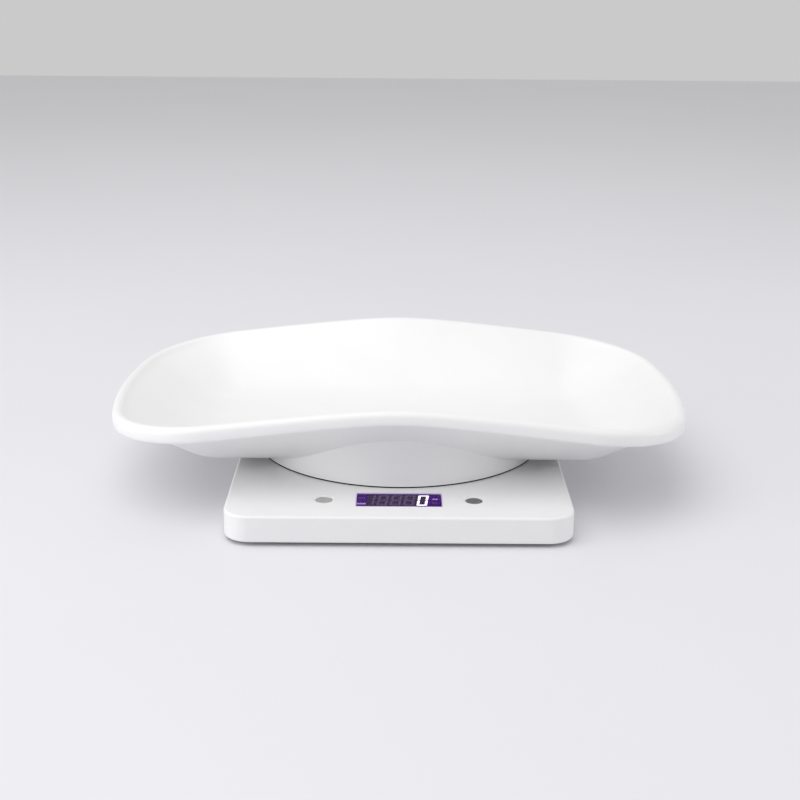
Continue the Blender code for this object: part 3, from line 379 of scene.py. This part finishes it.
# ------------------------------------------------------------------ circuit board
# A glass-fibre board under green solder mask, screwed to four posts of the top cover. It carries
# the controller in moulded epoxy and two tact switches in pressed steel.

# Solder mask: glossy dark green, lighter where it lies over copper tracks 0.6 mm wide.
mask, shader = new_material("green_solder_mask", roughness=0.3, ior=1.5)
place = add_node(mask, "ShaderNodeTexCoord", {}).outputs["Object"]
tracks = {"Vector": place, "Scale": 1 / (6 * MM), "Brick Width": 0.5, "Row Height": 0.25}
tracks.update({"Color1": (0, 0, 0, 1), "Color2": (0, 0, 0, 1), "Mortar": (1, 1, 1, 1)})
tracks["Mortar Size"] = 0.05
brick = add_node(mask, "ShaderNodeTexBrick", tracks)
vary_colour(mask, shader, "#0f4a26", "#1f7a42", brick.outputs["Fac"])
relief(mask, shader, brick.outputs["Fac"], 0.03 * MM)
give(mask, "circuit_board")

# Moulded epoxy: flat black with a faint sparkle of filler.
epoxy, shader = new_material("black_moulded_epoxy", roughness=0.6, ior=1.55)
vary_colour(epoxy, shader, "#161616", "#242424", noise(epoxy, 0.2 * MM))
give(epoxy, "controller_chip", "switch_stem_left", "switch_stem_right")

# Pressed steel of the switch shells: a plain, slightly scuffed metal.
pressed, shader = new_material("pressed_switch_steel", metallic=1.0, roughness=0.36)
scuffs = noise(pressed, 0.8 * MM, 6.0)
vary_colour(pressed, shader, "#b4b5b8", "#9d9fa3", scuffs)
vary_roughness(pressed, shader, 0.28, 0.46, scuffs)
give(pressed, "tact_switch_left", "tact_switch_right")

# ------------------------------------------------------------------ display
# A segment display bonded under a flush acrylic window. A violet film on the window's underside
# carries the segments, and a backlight in a milky frame below shines through the glass and film.

# Milky polystyrene: the frame and the backlight's light guide, which scatter light inside.
milky, shader = new_material("milky_polystyrene", roughness=0.5, ior=1.59)
vary_colour(milky, shader, "#eef0f4", "#e2e5ec", noise(milky, 4 * MM))
give(milky, "backlight_panel", "display_frame")


def backlit(name, grain, unlit_tones, lit_tones, roughness=0.4):
    """A display layer: two tones of its own, and two of the light that it lets through. The window
    is bonded over it, so that it has no gloss."""
    settings = {"specular_ior_level": 0.0, "emission_strength": 1.0}
    layer, shader = new_material(name, roughness=roughness, **settings)
    cells = noise(layer, grain)
    vary_colour(layer, shader, *unlit_tones, cells)
    vary_colour(layer, shader, *lit_tones, cells, "Emission Color")
    return layer


# Lit violet glass: the backlight shines through evenly, a little brighter in cells 0.5 mm wide
# where the light guide's dots lie.
tones = ("#120820", "#170a28"), ("#3d1668", "#431a70")
violet = backlit("backlit_violet_glass", 0.5 * MM, *tones, roughness=0.5)
give(violet, "lcd_glass")

# Unlit segments: electrodes that can just be seen as a greyer violet.
tones = ("#1c1424", "#221a2a"), ("#564862", "#5e5068")
unlit = backlit("unlit_segment_film", 0.4 * MM, *tones)

# The field behind the digits: the same film, where it lets a darker, greyer violet through.
tones = ("#140d1c", "#191120"), ("#3a2a47", "#3f2e4d")
field = backlit("grey_violet_field_film", 0.6 * MM, *tones)

# Lit segments: the backlight's own white, with a faint violet cast.
tones = ("#ffffff", "#f2ecff"), ("#f8f1ff", "#eee4ff")
lit = backlit("lit_segment_film", 0.8 * MM, *tones)

# Small marks: the same film where it is printed half-dense, so that they glow in a dim lilac.
tones = ("#5a4b74", "#54466d"), ("#a18fc2", "#9986bc")
lilac = backlit("dim_lilac_film", 0.8 * MM, *tones)

# A thin pale violet line on the cover, round the window.
violet_line_colour, shader = new_material("pale_violet_line_colour", roughness=0.45, ior=1.5)
vary_colour(violet_line_colour, shader, "#e4d2f8", "#dccaf2", noise(violet_line_colour, 0.6 * MM))

# Clear acrylic: a hard polished sheet that hides almost nothing. The lights lie on its face as a
# faint sheen.
acrylic, shader = new_material("clear_acrylic", roughness=0.08, ior=1.49, alpha=0.06)
vary_colour(acrylic, shader, "#1c0c3c", "#1f0e41", noise(acrylic, 20 * MM))

window_low, window_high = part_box("display_window")
window_middle = middle_of("display_window")
LEAN = math.tan(math.radians(5.5))
DIGIT = (5.7 * MM, 15.0 * MM)
STROKE = 1.35 * MM
SEGMENT_GAP = 0.12 * MM
PITCH = 7.3 * MM
LAST_DIGIT = 13.0 * MM  # the lit digit's middle, right of the window's middle
SEGMENTS = {
    "top": (0, 1, True),
    "middle": (0, 0, True),
    "bottom": (0, -1, True),
    "upper_left": (-1, 0.5, False),
    "upper_right": (1, 0.5, False),
    "lower_left": (-1, -0.5, False),
    "lower_right": (1, -0.5, False),
}
SEGMENT_FILM = 0.03 * MM
WINDOW_SHEET = 0.25 * MM
film_top = window_high.z - WINDOW_SHEET - 3 * SEGMENT_FILM


def segment(bm, middle, name):
    """One bar of a seven-segment digit, leaning with it: mitred at a corner, pointed elsewhere."""
    across, up, lies = SEGMENTS[name]
    half_width, half_height = (DIGIT[0] - STROKE) / 2, (DIGIT[1] - STROKE) / 2
    length = DIGIT[0] - STROKE if lies else half_height
    half = STROKE / 2
    end = length / 2 - SEGMENT_GAP
    outer = up if lies else -across

    def reach(tip, edge):
        at_corner = up != 0 if lies else up * tip > 0
        return end + half if at_corner and edge * outer > 0 else end - half

    shape = [(-end, 0), (-reach(-1, -1), -half), (reach(1, -1), -half), (end, 0)]
    shape += [(reach(1, 1), half), (-reach(-1, 1), half)]
    points = []
    for x, y in shape:
        if not lies:
            x, y = -y, x
        x += across * half_width
        y += up * half_height
        points.append((middle.x + x + y * LEAN, middle.y + y))
    prism(bm, points, film_top + SEGMENT_FILM, film_top + 2 * SEGMENT_FILM)


def bar(bm, x, y, width, height, level=1.0):
    """A plain mark on the film, placed from the window's middle; level counts film thicknesses."""
    centre_x, centre_y = window_middle.x + x, window_middle.y + y
    outline = [
        (centre_x + sx * width / 2 + sy * height / 2 * LEAN, centre_y + sy * height / 2)
        for sx, sy in ((-1, -1), (1, -1), (1, 1), (-1, 1))
    ]
    prism(bm, outline, film_top + level * SEGMENT_FILM, film_top + (level + 1) * SEGMENT_FILM)


# The field lies behind the four unlit digits and inside the lit one.
dim = bmesh.new()
bar(dim, -3.5 * MM, 0.0, 28.0 * MM, 15.6 * MM, 0.2)
bar(dim, LAST_DIGIT, 0.0, 3.6 * MM, 13.0 * MM, 0.2)
new_piece("digit_field", dim, "base", field)

ghost = bmesh.new()
for place in range(1, 4):
    middle = window_middle + Vector((LAST_DIGIT - place * PITCH, 0, 0))
    for name in SEGMENTS:
        segment(ghost, middle, name)
middle = window_middle + Vector((LAST_DIGIT - 4 * PITCH, 0, 0))
for name in ("upper_right", "lower_right"):
    segment(ghost, middle, name)
bar(ghost, -20.3 * MM, 3.2 * MM, 4.2 * MM, 1.1 * MM)
bar(ghost, 19.5 * MM, -3.4 * MM, 2.8 * MM, 1.1 * MM)
new_piece("unlit_segments", ghost, "base", unlit)

glow = bmesh.new()
for name in SEGMENTS:
    if name != "middle":
        segment(glow, window_middle + Vector((LAST_DIGIT, 0, 0)), name)
new_piece("lit_segments", glow, "base", lit)

small = bmesh.new()
for offset in (-1.7, 0.0, 1.7):
    bar(small, (-20.7 + offset) * MM, -5.2 * MM, 1.6 * MM, 2.0 * MM)
for offset in (-0.8, 0.8):
    bar(small, (19.8 + offset) * MM, 2.0 * MM, 1.4 * MM, 1.6 * MM)
new_piece("small_marks", small, "base", lilac)


def rounded_rectangle(x, y, radius, steps=8):
    """A rectangle from its (low, high) limits, with round corners, anticlockwise."""
    corners = (
        (x[1] - radius, y[0] + radius, -90),
        (x[1] - radius, y[1] - radius, 0),
        (x[0] + radius, y[1] - radius, 90),
        (x[0] + radius, y[0] + radius, 180),
    )
    outline = []
    for centre_x, centre_y, start in corners:
        for i in range(steps + 1):
            angle = math.radians(start + 90 * i / steps)
            across = centre_x + radius * math.cos(angle)
            outline.append((across, centre_y + radius * math.sin(angle)))
    return outline


def window_outline(inset, radius):
    """The window's outline, drawn in by an inset."""
    x = (window_low.x + inset, window_high.x - inset)
    y = (window_low.y + inset, window_high.y - inset)
    return rounded_rectangle(x, y, radius, 4)


def at(outline, height):
    """An outline as a ring at a height."""
    return [(x, y, height) for x, y in outline]


bm = bmesh.new()
edge = 0.12 * MM
sheet_low = window_high.z - WINDOW_SHEET
levels = ((0, sheet_low), (0, window_high.z - edge), (edge, window_high.z))
skin(bm, [at(window_outline(inset, 0.5 * MM - inset / 2), z) for inset, z in levels])
window = new_piece("acrylic_window", bm, "base", acrylic)
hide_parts("display_window")

bm = bmesh.new()
skin(bm, [at(window_outline(0, 0.5 * MM), z) for z in (window_low.z, film_top)])
violet_film = new_piece("violet_film", bm, "base", violet)
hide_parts("display_window")

# ------------------------------------------------------------------ top cover
# The cover is one ABS moulding that wraps the whole base, with round corners and a soft upper edge.
# It is screwed on from below and has openings for the window, the keys and the platform's post.

cover_low, cover_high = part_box("top_cover")
roof = cover_high.z
pedestal = middle_of("platform_plate").xy
key_places = {side: middle_of(f"button_{side}").xy for side in ("left", "right")}
CORNER = 15.0 * MM
TOP_ROUND, EDGE_ROUND = 1.4 * MM, 1.0 * MM  # the edges' roundings, above and below
WALL, ROOF = 2.2 * MM, 2.0 * MM
FLAT_MARGIN = 0.4 * MM  # a narrow flat strip that keeps the rounding's shading off the flat faces

# Satin ABS: an even, faintly cool white with a soft sheen. The moulding's orange peel is about
# 1.5 mm across and a few microns high.
satin_abs, shader = new_material("satin_abs", roughness=0.36, ior=1.53)
peel = noise(satin_abs, 1.5 * MM, 2.0)
vary_colour(satin_abs, shader, "#f2f2f2", "#eeeeef", noise(satin_abs, 12 * MM))
vary_roughness(satin_abs, shader, 0.32, 0.40, peel)
relief(satin_abs, shader, peel, 0.004 * MM)


def cover_outline(inset, steps=14):
    """The cover's outline, drawn in by an inset."""
    x = (cover_low.x + inset, cover_high.x - inset)
    y = (cover_low.y + inset, cover_high.y - inset)
    return rounded_rectangle(x, y, CORNER - inset, steps)


rings = []
for i in range(7):
    angle = math.radians(15 * i)
    inset = EDGE_ROUND * (1 - math.sin(angle))
    rings.append(at(cover_outline(inset), cover_low.z + EDGE_ROUND * (1 - math.cos(angle))))
rings.append(at(cover_outline(0), cover_low.z + EDGE_ROUND + FLAT_MARGIN))
rings.append(at(cover_outline(0), roof - TOP_ROUND - FLAT_MARGIN))
for i in range(9):
    angle = math.radians(90 * i / 8)
    inset = TOP_ROUND * (1 - math.cos(angle))
    rings.append(at(cover_outline(inset), roof - TOP_ROUND * (1 - math.sin(angle))))
rings.append(at(cover_outline(TOP_ROUND + FLAT_MARGIN), roof))
shell = bmesh.new()
skin(shell, rings)

cavity = bmesh.new()
prism(cavity, cover_outline(WALL, 10), cover_low.z - 2 * MM, roof - ROOF)

openings = bmesh.new()
cut_low, cut_high = roof - 3 * MM, roof + 1 * MM
hole, well, well_depth, bevel = 4.7 * MM, 5.9 * MM, 0.3 * MM, 0.15 * MM
well_floor = roof - well_depth
for centre in key_places.values():
    profile = [(0, cut_low), (hole, cut_low), (hole, well_floor - bevel)]
    profile += [(hole + bevel, well_floor), (well - bevel, well_floor)]
    profile += [(well + bevel, roof), (well + bevel, cut_high), (0, cut_high)]
    turn(openings, profile, centre, 64)
prism(openings, window_outline(-0.3 * MM, 0.7 * MM), cut_low, cut_high)
post_hole, post_hole_half = pedestal.x + 17.0 * MM, 10.0 * MM
x = (post_hole - post_hole_half, post_hole + post_hole_half)
y = (pedestal.y - post_hole_half, pedestal.y + post_hole_half)
prism(openings, rounded_rectangle(x, y, 2 * MM, 6), cut_low, cut_high)

mesh = worked("cover_shell", shell, ("DIFFERENCE", cavity), ("DIFFERENCE", openings))
cover = show("cover_shell", mesh, "base", satin_abs, 30)
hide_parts("top_cover")

# The line round the window is 0.6 mm wide and lies on the cover.
low, high = roof + 0.005 * MM, roof + 0.02 * MM
outer, inner = (window_outline(inset, 0.8 * MM) for inset in (-0.95 * MM, -0.35 * MM))
line = bmesh.new()
skin(line, [at(outer, low), at(outer, high), at(inner, high), at(inner, low)], closed=True)
new_piece("window_line", line, "base", violet_line_colour)

# ------------------------------------------------------------------ seam ring: painted shade
# A flat ring of near-black film lies on the cover, just under the foot of the tray's skirt. It is
# painted shade: a dark sheet in the gap between them, so that the gap shows as a fine dark line.

# Painted shade for the seam: a dull, nearly black film, mottled a little.
film, shader = new_material("painted_shade_seam_film", roughness=0.9, ior=1.5)
vary_colour(film, shader, "#0d0d0e", "#141415", noise(film, 0.8 * MM))

ring_inner, ring_outer = 82.6 * MM, 86.2 * MM
low, high = roof + 0.01 * MM, roof + 0.08 * MM
profile = [(ring_inner, low), (ring_outer, low), (ring_outer, high), (ring_inner, high)]
bm = bmesh.new()
turn(bm, profile, pedestal, 128)
new_piece("painted_shade_seam_ring", bm, "base", film)

# ------------------------------------------------------------------ keys
# Two round keys of moulded plastic, dished for a fingertip, stand just under the cover's surface in
# shallow rings. A collar under the cover holds each one in, over its tact switch.

# Painted key plastic: a silvery grey on the left and a darker grey on the right. Both have the fine
# metallic grain of spray paint, 0.15 mm flakes drawn at 0.3 mm.
key_paints = {}
for side, first, second, metal in (
    ("left", "#c6c7c6", "#b2b3b2", 0.55),
    ("right", "#818182", "#707071", 0.45),
):
    painted, shader = new_material(f"painted_key_{side}", metallic=metal, roughness=0.34)
    flakes = noise(painted, 0.3 * MM, 2.0)
    vary_colour(painted, shader, first, second, flakes)
    vary_roughness(painted, shader, 0.26, 0.42, flakes)
    key_paints[side] = painted

for side, centre in key_places.items():
    low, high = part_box(f"button_{side}")
    collar = (high.x - low.x) / 2
    cap = collar - 1.2 * MM
    collar_top = low.z + 1.0 * MM
    round_over = 0.35 * MM
    dish = 1.0 * MM
    profile = [(0, low.z), (collar, low.z), (collar, collar_top), (cap, collar_top)]
    profile += rounded_corner((cap - round_over, high.z - round_over), round_over, 0, 90)
    floor = cap - round_over - 0.2 * MM
    for share in (1.0, 0.85, 0.7, 0.55, 0.4, 0.25, 0.12):
        profile.append((floor * share, high.z - dish * (1 - share**2)))
    profile.append((0, high.z - dish))
    bm = bmesh.new()
    turn(bm, profile, centre, 64)
    key = new_piece(f"key_{side}", bm, f"button_{side}", key_paints[side], 50)
    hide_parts(f"button_{side}")

# ------------------------------------------------------------------ platform
# A round plate of grey glass-filled nylon that carries the tray. Its dark grey is partly painted
# shade, which darkens the seam that shows under the tray's skirt. Its post goes down through the
# cover to the load cell, round grooves lighten its top, and four rubber pads grip the tray.

plate_low, plate_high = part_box("platform_plate")
plate_radius = (plate_high.x - plate_low.x) / 2
plate_bottom, plate_top = plate_high.z - 2.0 * MM, plate_high.z

# Glass-filled nylon: charcoal grey and dry, with faint flow streaks of fibre. The charcoal is
# partly painted shade for the seam under the skirt.
nylon, shader = new_material("charcoal_nylon_partly_seam_shade", roughness=0.6, ior=1.53)
streaks = noise(nylon, 2 * MM, 5.0, stretch=(1, 0.2, 1))
vary_colour(nylon, shader, "#3e3f42", "#4a4b4e", streaks)
vary_roughness(nylon, shader, 0.5, 0.7, streaks)
relief(nylon, shader, noise(nylon, 0.4 * MM), 0.02 * MM)

edge = 0.4 * MM
profile = [(0, plate_bottom), (plate_radius - edge, plate_bottom)]
profile += rounded_corner((plate_radius - edge, plate_bottom + edge), edge, -90, 90, 3)[1:]
profile += rounded_corner((plate_radius - edge, plate_top - edge), edge, 0, 90, 3)
groove_depth, groove_width, slant = 0.5 * MM, 2.4 * MM, 0.4 * MM
groove_floor = plate_top - groove_depth
for groove in (76 * MM, 70 * MM, 40 * MM):
    profile += [(groove, plate_top), (groove - slant, groove_floor)]
    profile += [(groove - groove_width + slant, groove_floor), (groove - groove_width, plate_top)]
profile.append((0, plate_top))
plate = bmesh.new()
turn(plate, profile, pedestal, 128)

post_x, post_half = pedestal.x + 16.5 * MM, 7.0 * MM
x = (post_x - post_half, post_x + post_half)
y = (pedestal.y - post_half, pedestal.y + post_half)
beam_travel = 0.25 * MM  # the post stays clear of the load cell when the platform is pressed down
post_low, post_high = plate_low.z + beam_travel, plate_bottom + 0.8 * MM
post = bmesh.new()
prism(post, rounded_rectangle(x, y, 1.5 * MM, 6), post_low, post_high)

wells = bmesh.new()
shank, head, seat = 1.7 * MM, 3.1 * MM, plate_top - 1.6 * MM
well_low, well_high = plate_low.z - 1 * MM, plate_top + 1 * MM
for number in (1, 2):
    profile = [(0, well_low), (shank, well_low), (shank, seat), (head, seat)]
    profile += [(head, well_high), (0, well_high)]
    turn(wells, profile, middle_of(f"platform_screw_{number}").xy, 32)
mesh = worked("platform_disc", plate, ("UNION", post), ("DIFFERENCE", wells))
disc = show("platform_disc", mesh, "platform", nylon)
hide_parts("platform_plate")

for number in range(1, 5):
    low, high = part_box(f"platform_pad_{number}")
    radius, edge = (high.x - low.x) / 2, 0.3 * MM
    profile = [(0, low.z), (radius, low.z)]
    profile += rounded_corner((radius - edge, high.z - edge), edge, 0, 90)
    profile.append((0, high.z))
    bm = bmesh.new()
    turn(bm, profile, middle_of(f"platform_pad_{number}").xy)
    pad = new_piece(f"grip_pad_{number}", bm, "platform", rubber)
    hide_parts(f"platform_pad_{number}")

# ------------------------------------------------------------------ tray
# The tray is a saddle-shaped dish with a rolled rim, injection-moulded in glossy white ABS in one
# with the round skirt below it. It is loose: its skirt drops over the platform, and it lifts off.

tray_low, tray_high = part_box("tray")
LIP = 3.7 * MM
HALF_LENGTH = (tray_high.x - tray_low.x) / 2 - LIP
HALF_WIDTH = (tray_high.y - tray_low.y) / 2 - LIP
END_RADIUS, SIDE_RADIUS, CORNER_RADIUS = 302 * MM, 9000 * MM, 59.3 * MM
RIM_TOP = tray_high.z - LIP
RIM_FALL = 16.5 * MM
CREST = 0.17  # how soft the rim's crest is, as a share of the tray's half length
TRAY_WALL = 2.6 * MM
UNDERSIDE = 22.0 * MM  # the height of the flat floor's underside
BEND = 40.0 * MM  # the radius between floor and wall
SIDE_SLOPE, END_SLOPE = math.radians(45), math.radians(29)
LIP_DROP, LIP_DROP_MORE = 3.2 * MM, 1.2 * MM  # down to the crease, and the extra at the two ends
WALL_SET = 0.4 * MM  # how far the wall's outside runs below the rim's middle line
SKIRT_FOOT = tray_low.z
SKIRT_RADIUS, SKIRT_WALL = 86.3 * MM, 2.4 * MM
SKIRT_DRAFT = 0.134  # how much it narrows for each metre of height

# Glossy ABS: a clean, bright white under a polished skin. Light from a window or a lamp lies on it
# in broad soft bands, broken a little by orange peel 4 mm across.
glossy_abs, shader = new_material("glossy_abs", roughness=0.34, ior=1.53)
vary_colour(glossy_abs, shader, "#f4f4f4", "#f0f0f1", noise(glossy_abs, 25 * MM))
peel = noise(glossy_abs, 4 * MM, 2.0)
vary_roughness(glossy_abs, shader, 0.30, 0.40, peel)
relief(glossy_abs, shader, peel, 0.006 * MM)


def arc(centre, radius, start, end, steps):
    """(x, y, angle of the outward normal) along an arc, without its last point."""
    points = []
    for i in range(steps):
        angle = start + (end - start) * i / steps
        x = centre[0] + radius * math.cos(angle)
        points.append((x, centre[1] + radius * math.sin(angle), angle))
    return points


def rim_stations(end_steps, corner_steps, side_steps):
    """The rim's middle line, anticlockwise: end arcs and side arcs, joined by corner arcs."""
    end_centre = Vector((HALF_LENGTH - END_RADIUS, 0))
    side_centre = Vector((0, HALF_WIDTH - SIDE_RADIUS))
    to_end, to_side = END_RADIUS - CORNER_RADIUS, SIDE_RADIUS - CORNER_RADIUS
    apart = (side_centre - end_centre).length
    along = (to_end**2 - to_side**2 + apart**2) / (2 * apart)
    across = math.sqrt(to_end**2 - along**2)
    unit = (side_centre - end_centre) / apart
    corner = end_centre + along * unit + across * Vector((-unit.y, unit.x))
    first = math.atan2(corner.y - end_centre.y, corner.x - end_centre.x)
    second = math.atan2(corner.y - side_centre.y, corner.x - side_centre.x)
    quarter = arc(end_centre, END_RADIUS, 0.0, first, end_steps)
    quarter += arc(corner, CORNER_RADIUS, first, second, corner_steps)
    quarter += arc(side_centre, SIDE_RADIUS, second, math.pi / 2, side_steps)
    back = quarter + [(0.0, HALF_WIDTH, math.pi / 2)]
    back += [(-x, y, math.pi - angle) for x, y, angle in reversed(quarter)]
    half_turn = len(back) - 1
    front = [(-x, -y, math.pi + angle) for x, y, angle in back]
    whole = back[:half_turn] + front[:half_turn]
    return [(x, y, math.cos(angle), math.sin(angle)) for x, y, angle in whole]


def rim_fall(x):
    """The share of its fall that the rim has made: none at the sides' middle, all at the ends."""
    fall = math.hypot(1, abs(x) / HALF_LENGTH / CREST) - 1
    return fall / (math.hypot(1, 1 / CREST) - 1)


def wall_shape(x):
    """The rim's height, the wall's slope, and how far out from the rim the bend is centred."""
    fall = rim_fall(x)
    height = RIM_TOP - RIM_FALL * fall
    slope = SIDE_SLOPE + (END_SLOPE - SIDE_SLOPE) * fall
    bend_end = UNDERSIDE + BEND * (1 - math.cos(slope))
    wall_run = (height - WALL_SET - bend_end) / math.tan(slope)
    return height, slope, -wall_run - BEND * math.sin(slope)


def section(x):
    """The wall as (outward, height) points: up the underside, round the lip, down the inside."""
    height, slope, centre = wall_shape(x)
    sine, cosine = math.sin(slope), math.cos(slope)
    inner = BEND - TRAY_WALL
    lift = UNDERSIDE + BEND
    angles = [slope * i / 9 for i in range(10)]
    points = [(centre + BEND * math.sin(a), lift - BEND * math.cos(a)) for a in angles]
    start = points[-1]
    drop = LIP_DROP + LIP_DROP_MORE * rim_fall(x)
    crease = (-drop / math.tan(slope), height - drop - WALL_SET)
    for share in (0.25, 0.5, 0.75, 0.93):
        points.append(tuple(start[k] + (crease[k] - start[k]) * share for k in range(2)))
    points.append(crease)
    points += [(crease[0] * 0.6, height - drop - 0.75 * MM), (crease[0] * 0.3, height - drop - MM)]
    # The lip's lower half, in millimetres out from the rim and down from the crease.
    lip = ((0.0, 1.3), (0.9, 1.55), (1.7, 1.55), (2.4, 1.25), (3.0, 0.7), (3.4, -0.1), (3.62, -1.1))
    points += [(out * MM, height - drop - lower * MM) for out, lower in lip]
    for i in range(15):
        angle = (math.pi - slope) * i / 14
        points.append((LIP * math.cos(angle), height + LIP * math.sin(angle)))
    # The inside leaves the lip's roll and thins down to the wall's own thickness at the bend.
    top = points[-1]
    end = (centre + inner * sine, lift - inner * cosine)
    extra = LIP - (TRAY_WALL - WALL_SET * cosine)
    foot = (top[0] + extra * sine, top[1] - extra * cosine)
    for i in range(1, 8):
        share = i / 8
        proud = extra * (1 - share) ** 2 * (1 + 2 * share)
        out = foot[0] + (end[0] - foot[0]) * share - proud * sine
        points.append((out, foot[1] + (end[1] - foot[1]) * share + proud * cosine))
    points += [(centre + inner * math.sin(a), lift - inner * math.cos(a)) for a in angles[::-1]]
    return points


def in_place(x, y, z):
    """A point that is measured from the pedestal's axis."""
    return (pedestal.x + x, pedestal.y + y, z)


stations = rim_stations(8, 26, 22)
sections = [section(station[0]) for station in stations]
rings = []
for level in range(len(sections[0])):
    ring = []
    for (x, y, nx, ny), points in zip(stations, sections):
        out, up = points[level]
        ring.append(in_place(x + out * nx, y + out * ny, up))
    rings.append(ring)


def shrunk(ring, share):
    """A flat ring drawn in towards the pedestal's axis."""
    return [
        (pedestal.x + (x - pedestal.x) * share, pedestal.y + (y - pedestal.y) * share, z)
        for x, y, z in ring
    ]


under = [shrunk(rings[0], share) for share in (0.9, 0.97)]
inside = [shrunk(rings[-1], share) for share in (0.97, 0.9, 0.6, 0.3)]
dish = bmesh.new()
skin(dish, under + rings + inside + [[in_place(0, 0, inside[-1][0][2])]])
# In the floor's tight corners, points that are too close for smooth shading are merged.
flat_heights = (under[0][0][2], inside[0][0][2])
flat = [v for v in dish.verts if min(abs(v.co.z - z) for z in flat_heights) < 1e-6]
bmesh.ops.remove_doubles(dish, verts=flat, dist=0.5 * MM)


def underside_at(x, y):
    """How high the dish's underside is above a point measured from the pedestal's axis."""
    near = min(stations, key=lambda s: (s[0] - x) ** 2 + (s[1] - y) ** 2)
    inward = (near[0] - x) * near[2] + (near[1] - y) * near[3]
    height, slope, centre = wall_shape(x + inward * near[2])
    reach = -inward - centre
    if reach <= 0:
        return UNDERSIDE
    if reach >= BEND * math.sin(slope):
        return height - inward * math.tan(slope) - WALL_SET
    return UNDERSIDE + BEND - math.sqrt(BEND**2 - reach**2)


SKIRT_SIDES = 160
FOOT_ROUND = 0.2 * MM
outer, inner = [], []
for i in range(SKIRT_SIDES):
    angle = 2 * math.pi * i / SKIRT_SIDES
    way = Vector((math.cos(angle), math.sin(angle)))
    for wall, columns in ((0.0, outer), (SKIRT_WALL, inner)):
        foot = SKIRT_RADIUS - wall
        top = SKIRT_FOOT
        for _ in range(6):  # the skirt narrows upwards, so its top is closed in on
            radius = foot - SKIRT_DRAFT * (top - SKIRT_FOOT)
            top = underside_at(radius * way.x, radius * way.y)
        columns.append((way, foot, top + TRAY_WALL / 2))


def skirt_ring(columns, share, inset=0.0, rise=0.0):
    """A level of the skirt, at a share of the way from its foot to its top."""
    ring = []
    for way, foot, top in columns:
        height = SKIRT_FOOT + rise + (top - SKIRT_FOOT - rise) * share
        radius = foot - SKIRT_DRAFT * (height - SKIRT_FOOT) - inset
        ring.append(in_place(radius * way.x, radius * way.y, height))
    return ring


skirt = bmesh.new()
skirt_rings = [skirt_ring(outer, 0, FOOT_ROUND)]
skirt_rings += [skirt_ring(outer, 0, FOOT_ROUND * 0.3, FOOT_ROUND * 0.3)]
skirt_rings += [skirt_ring(outer, 0, 0, FOOT_ROUND)]
skirt_rings += [skirt_ring(outer, share) for share in (0.25, 0.5, 0.75, 1.0)]
skirt_rings += [skirt_ring(inner, 1.0), skirt_ring(inner, 0)]
skin(skirt, skirt_rings, closed=True)
mesh = worked("tray_moulding", dish, ("UNION", skirt))
tray = show("tray_moulding", mesh, "tray", glossy_abs, 32)
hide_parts("tray")

# ------------------------------------------------------------------ floor, light and camera
# A plain pale table top, a large soft lamp overhead, a low one at each side that reaches under the
# tray, and a high one behind, so that the white piece stands clear of the floor.

bm = bmesh.new()
prism(bm, [(-3, -3), (3, -3), (3, 3), (-3, 3)], -1 * MM, 0)
floor = draft("floor", bm)
# Pale laminate: a matt, faintly violet grey, clouded over about 0.3 m.
laminate, shader = new_material("pale_laminate", roughness=0.55, ior=1.5)
vary_colour(laminate, shader, "#e9e9ed", "#e5e5e9", noise(laminate, 0.3))
floor.data.materials.append(laminate)

LIT_POINT = Vector((0, 0, 0.03))


def add_lamp(name, place, size, power):
    """A round white area lamp that faces the scale."""
    lamp = bpy.data.lights.new(name, "AREA")
    lamp.shape = "DISK"
    lamp.size = size
    lamp.energy = power
    obj = bpy.data.objects.new(name, lamp)
    bpy.context.scene.collection.objects.link(obj)
    obj.location = place
    way = LIT_POINT - Vector(place)
    obj.rotation_euler = way.to_track_quat("-Z", "Y").to_euler()


add_lamp("key_lamp", (-0.5, -0.5, 1.65), 2.0, 15)
add_lamp("left_lamp", (-1.2, -0.4, 0.28), 0.7, 4)
add_lamp("right_lamp", (1.2, -0.1, 0.28), 0.7, 2)
add_lamp("back_lamp", (0.1, 0.9, 1.4), 1.4, 1.5)

world = bpy.data.worlds.new("studio")
world.use_nodes = True
world.node_tree.nodes["Background"].inputs["Color"].default_value = linear("#cacaca")
bpy.context.scene.world = world
bpy.context.scene.view_settings.view_transform = "Standard"

# The camera stands 0.82 m in front of the pedestal and looks 17.4 degrees down.
camera = bpy.data.cameras.new("camera")
camera.lens = 63.0
camera.sensor_width = 36.0
camera.clip_start = 0.01
eye = bpy.data.objects.new("camera", camera)
bpy.context.scene.collection.objects.link(eye)
eye.location = (pedestal.x - 3.05 * MM, pedestal.y - 820.8 * MM, 299.7 * MM)
turned = Matrix.Rotation(math.radians(-0.25), 3, "Z")
tilted = Matrix.Rotation(math.radians(72.57), 3, "X")
rolled = Matrix.Rotation(math.radians(0.47), 3, "Z")
eye.rotation_euler = (turned @ tilted @ rolled).to_euler()
bpy.context.scene.camera = eye
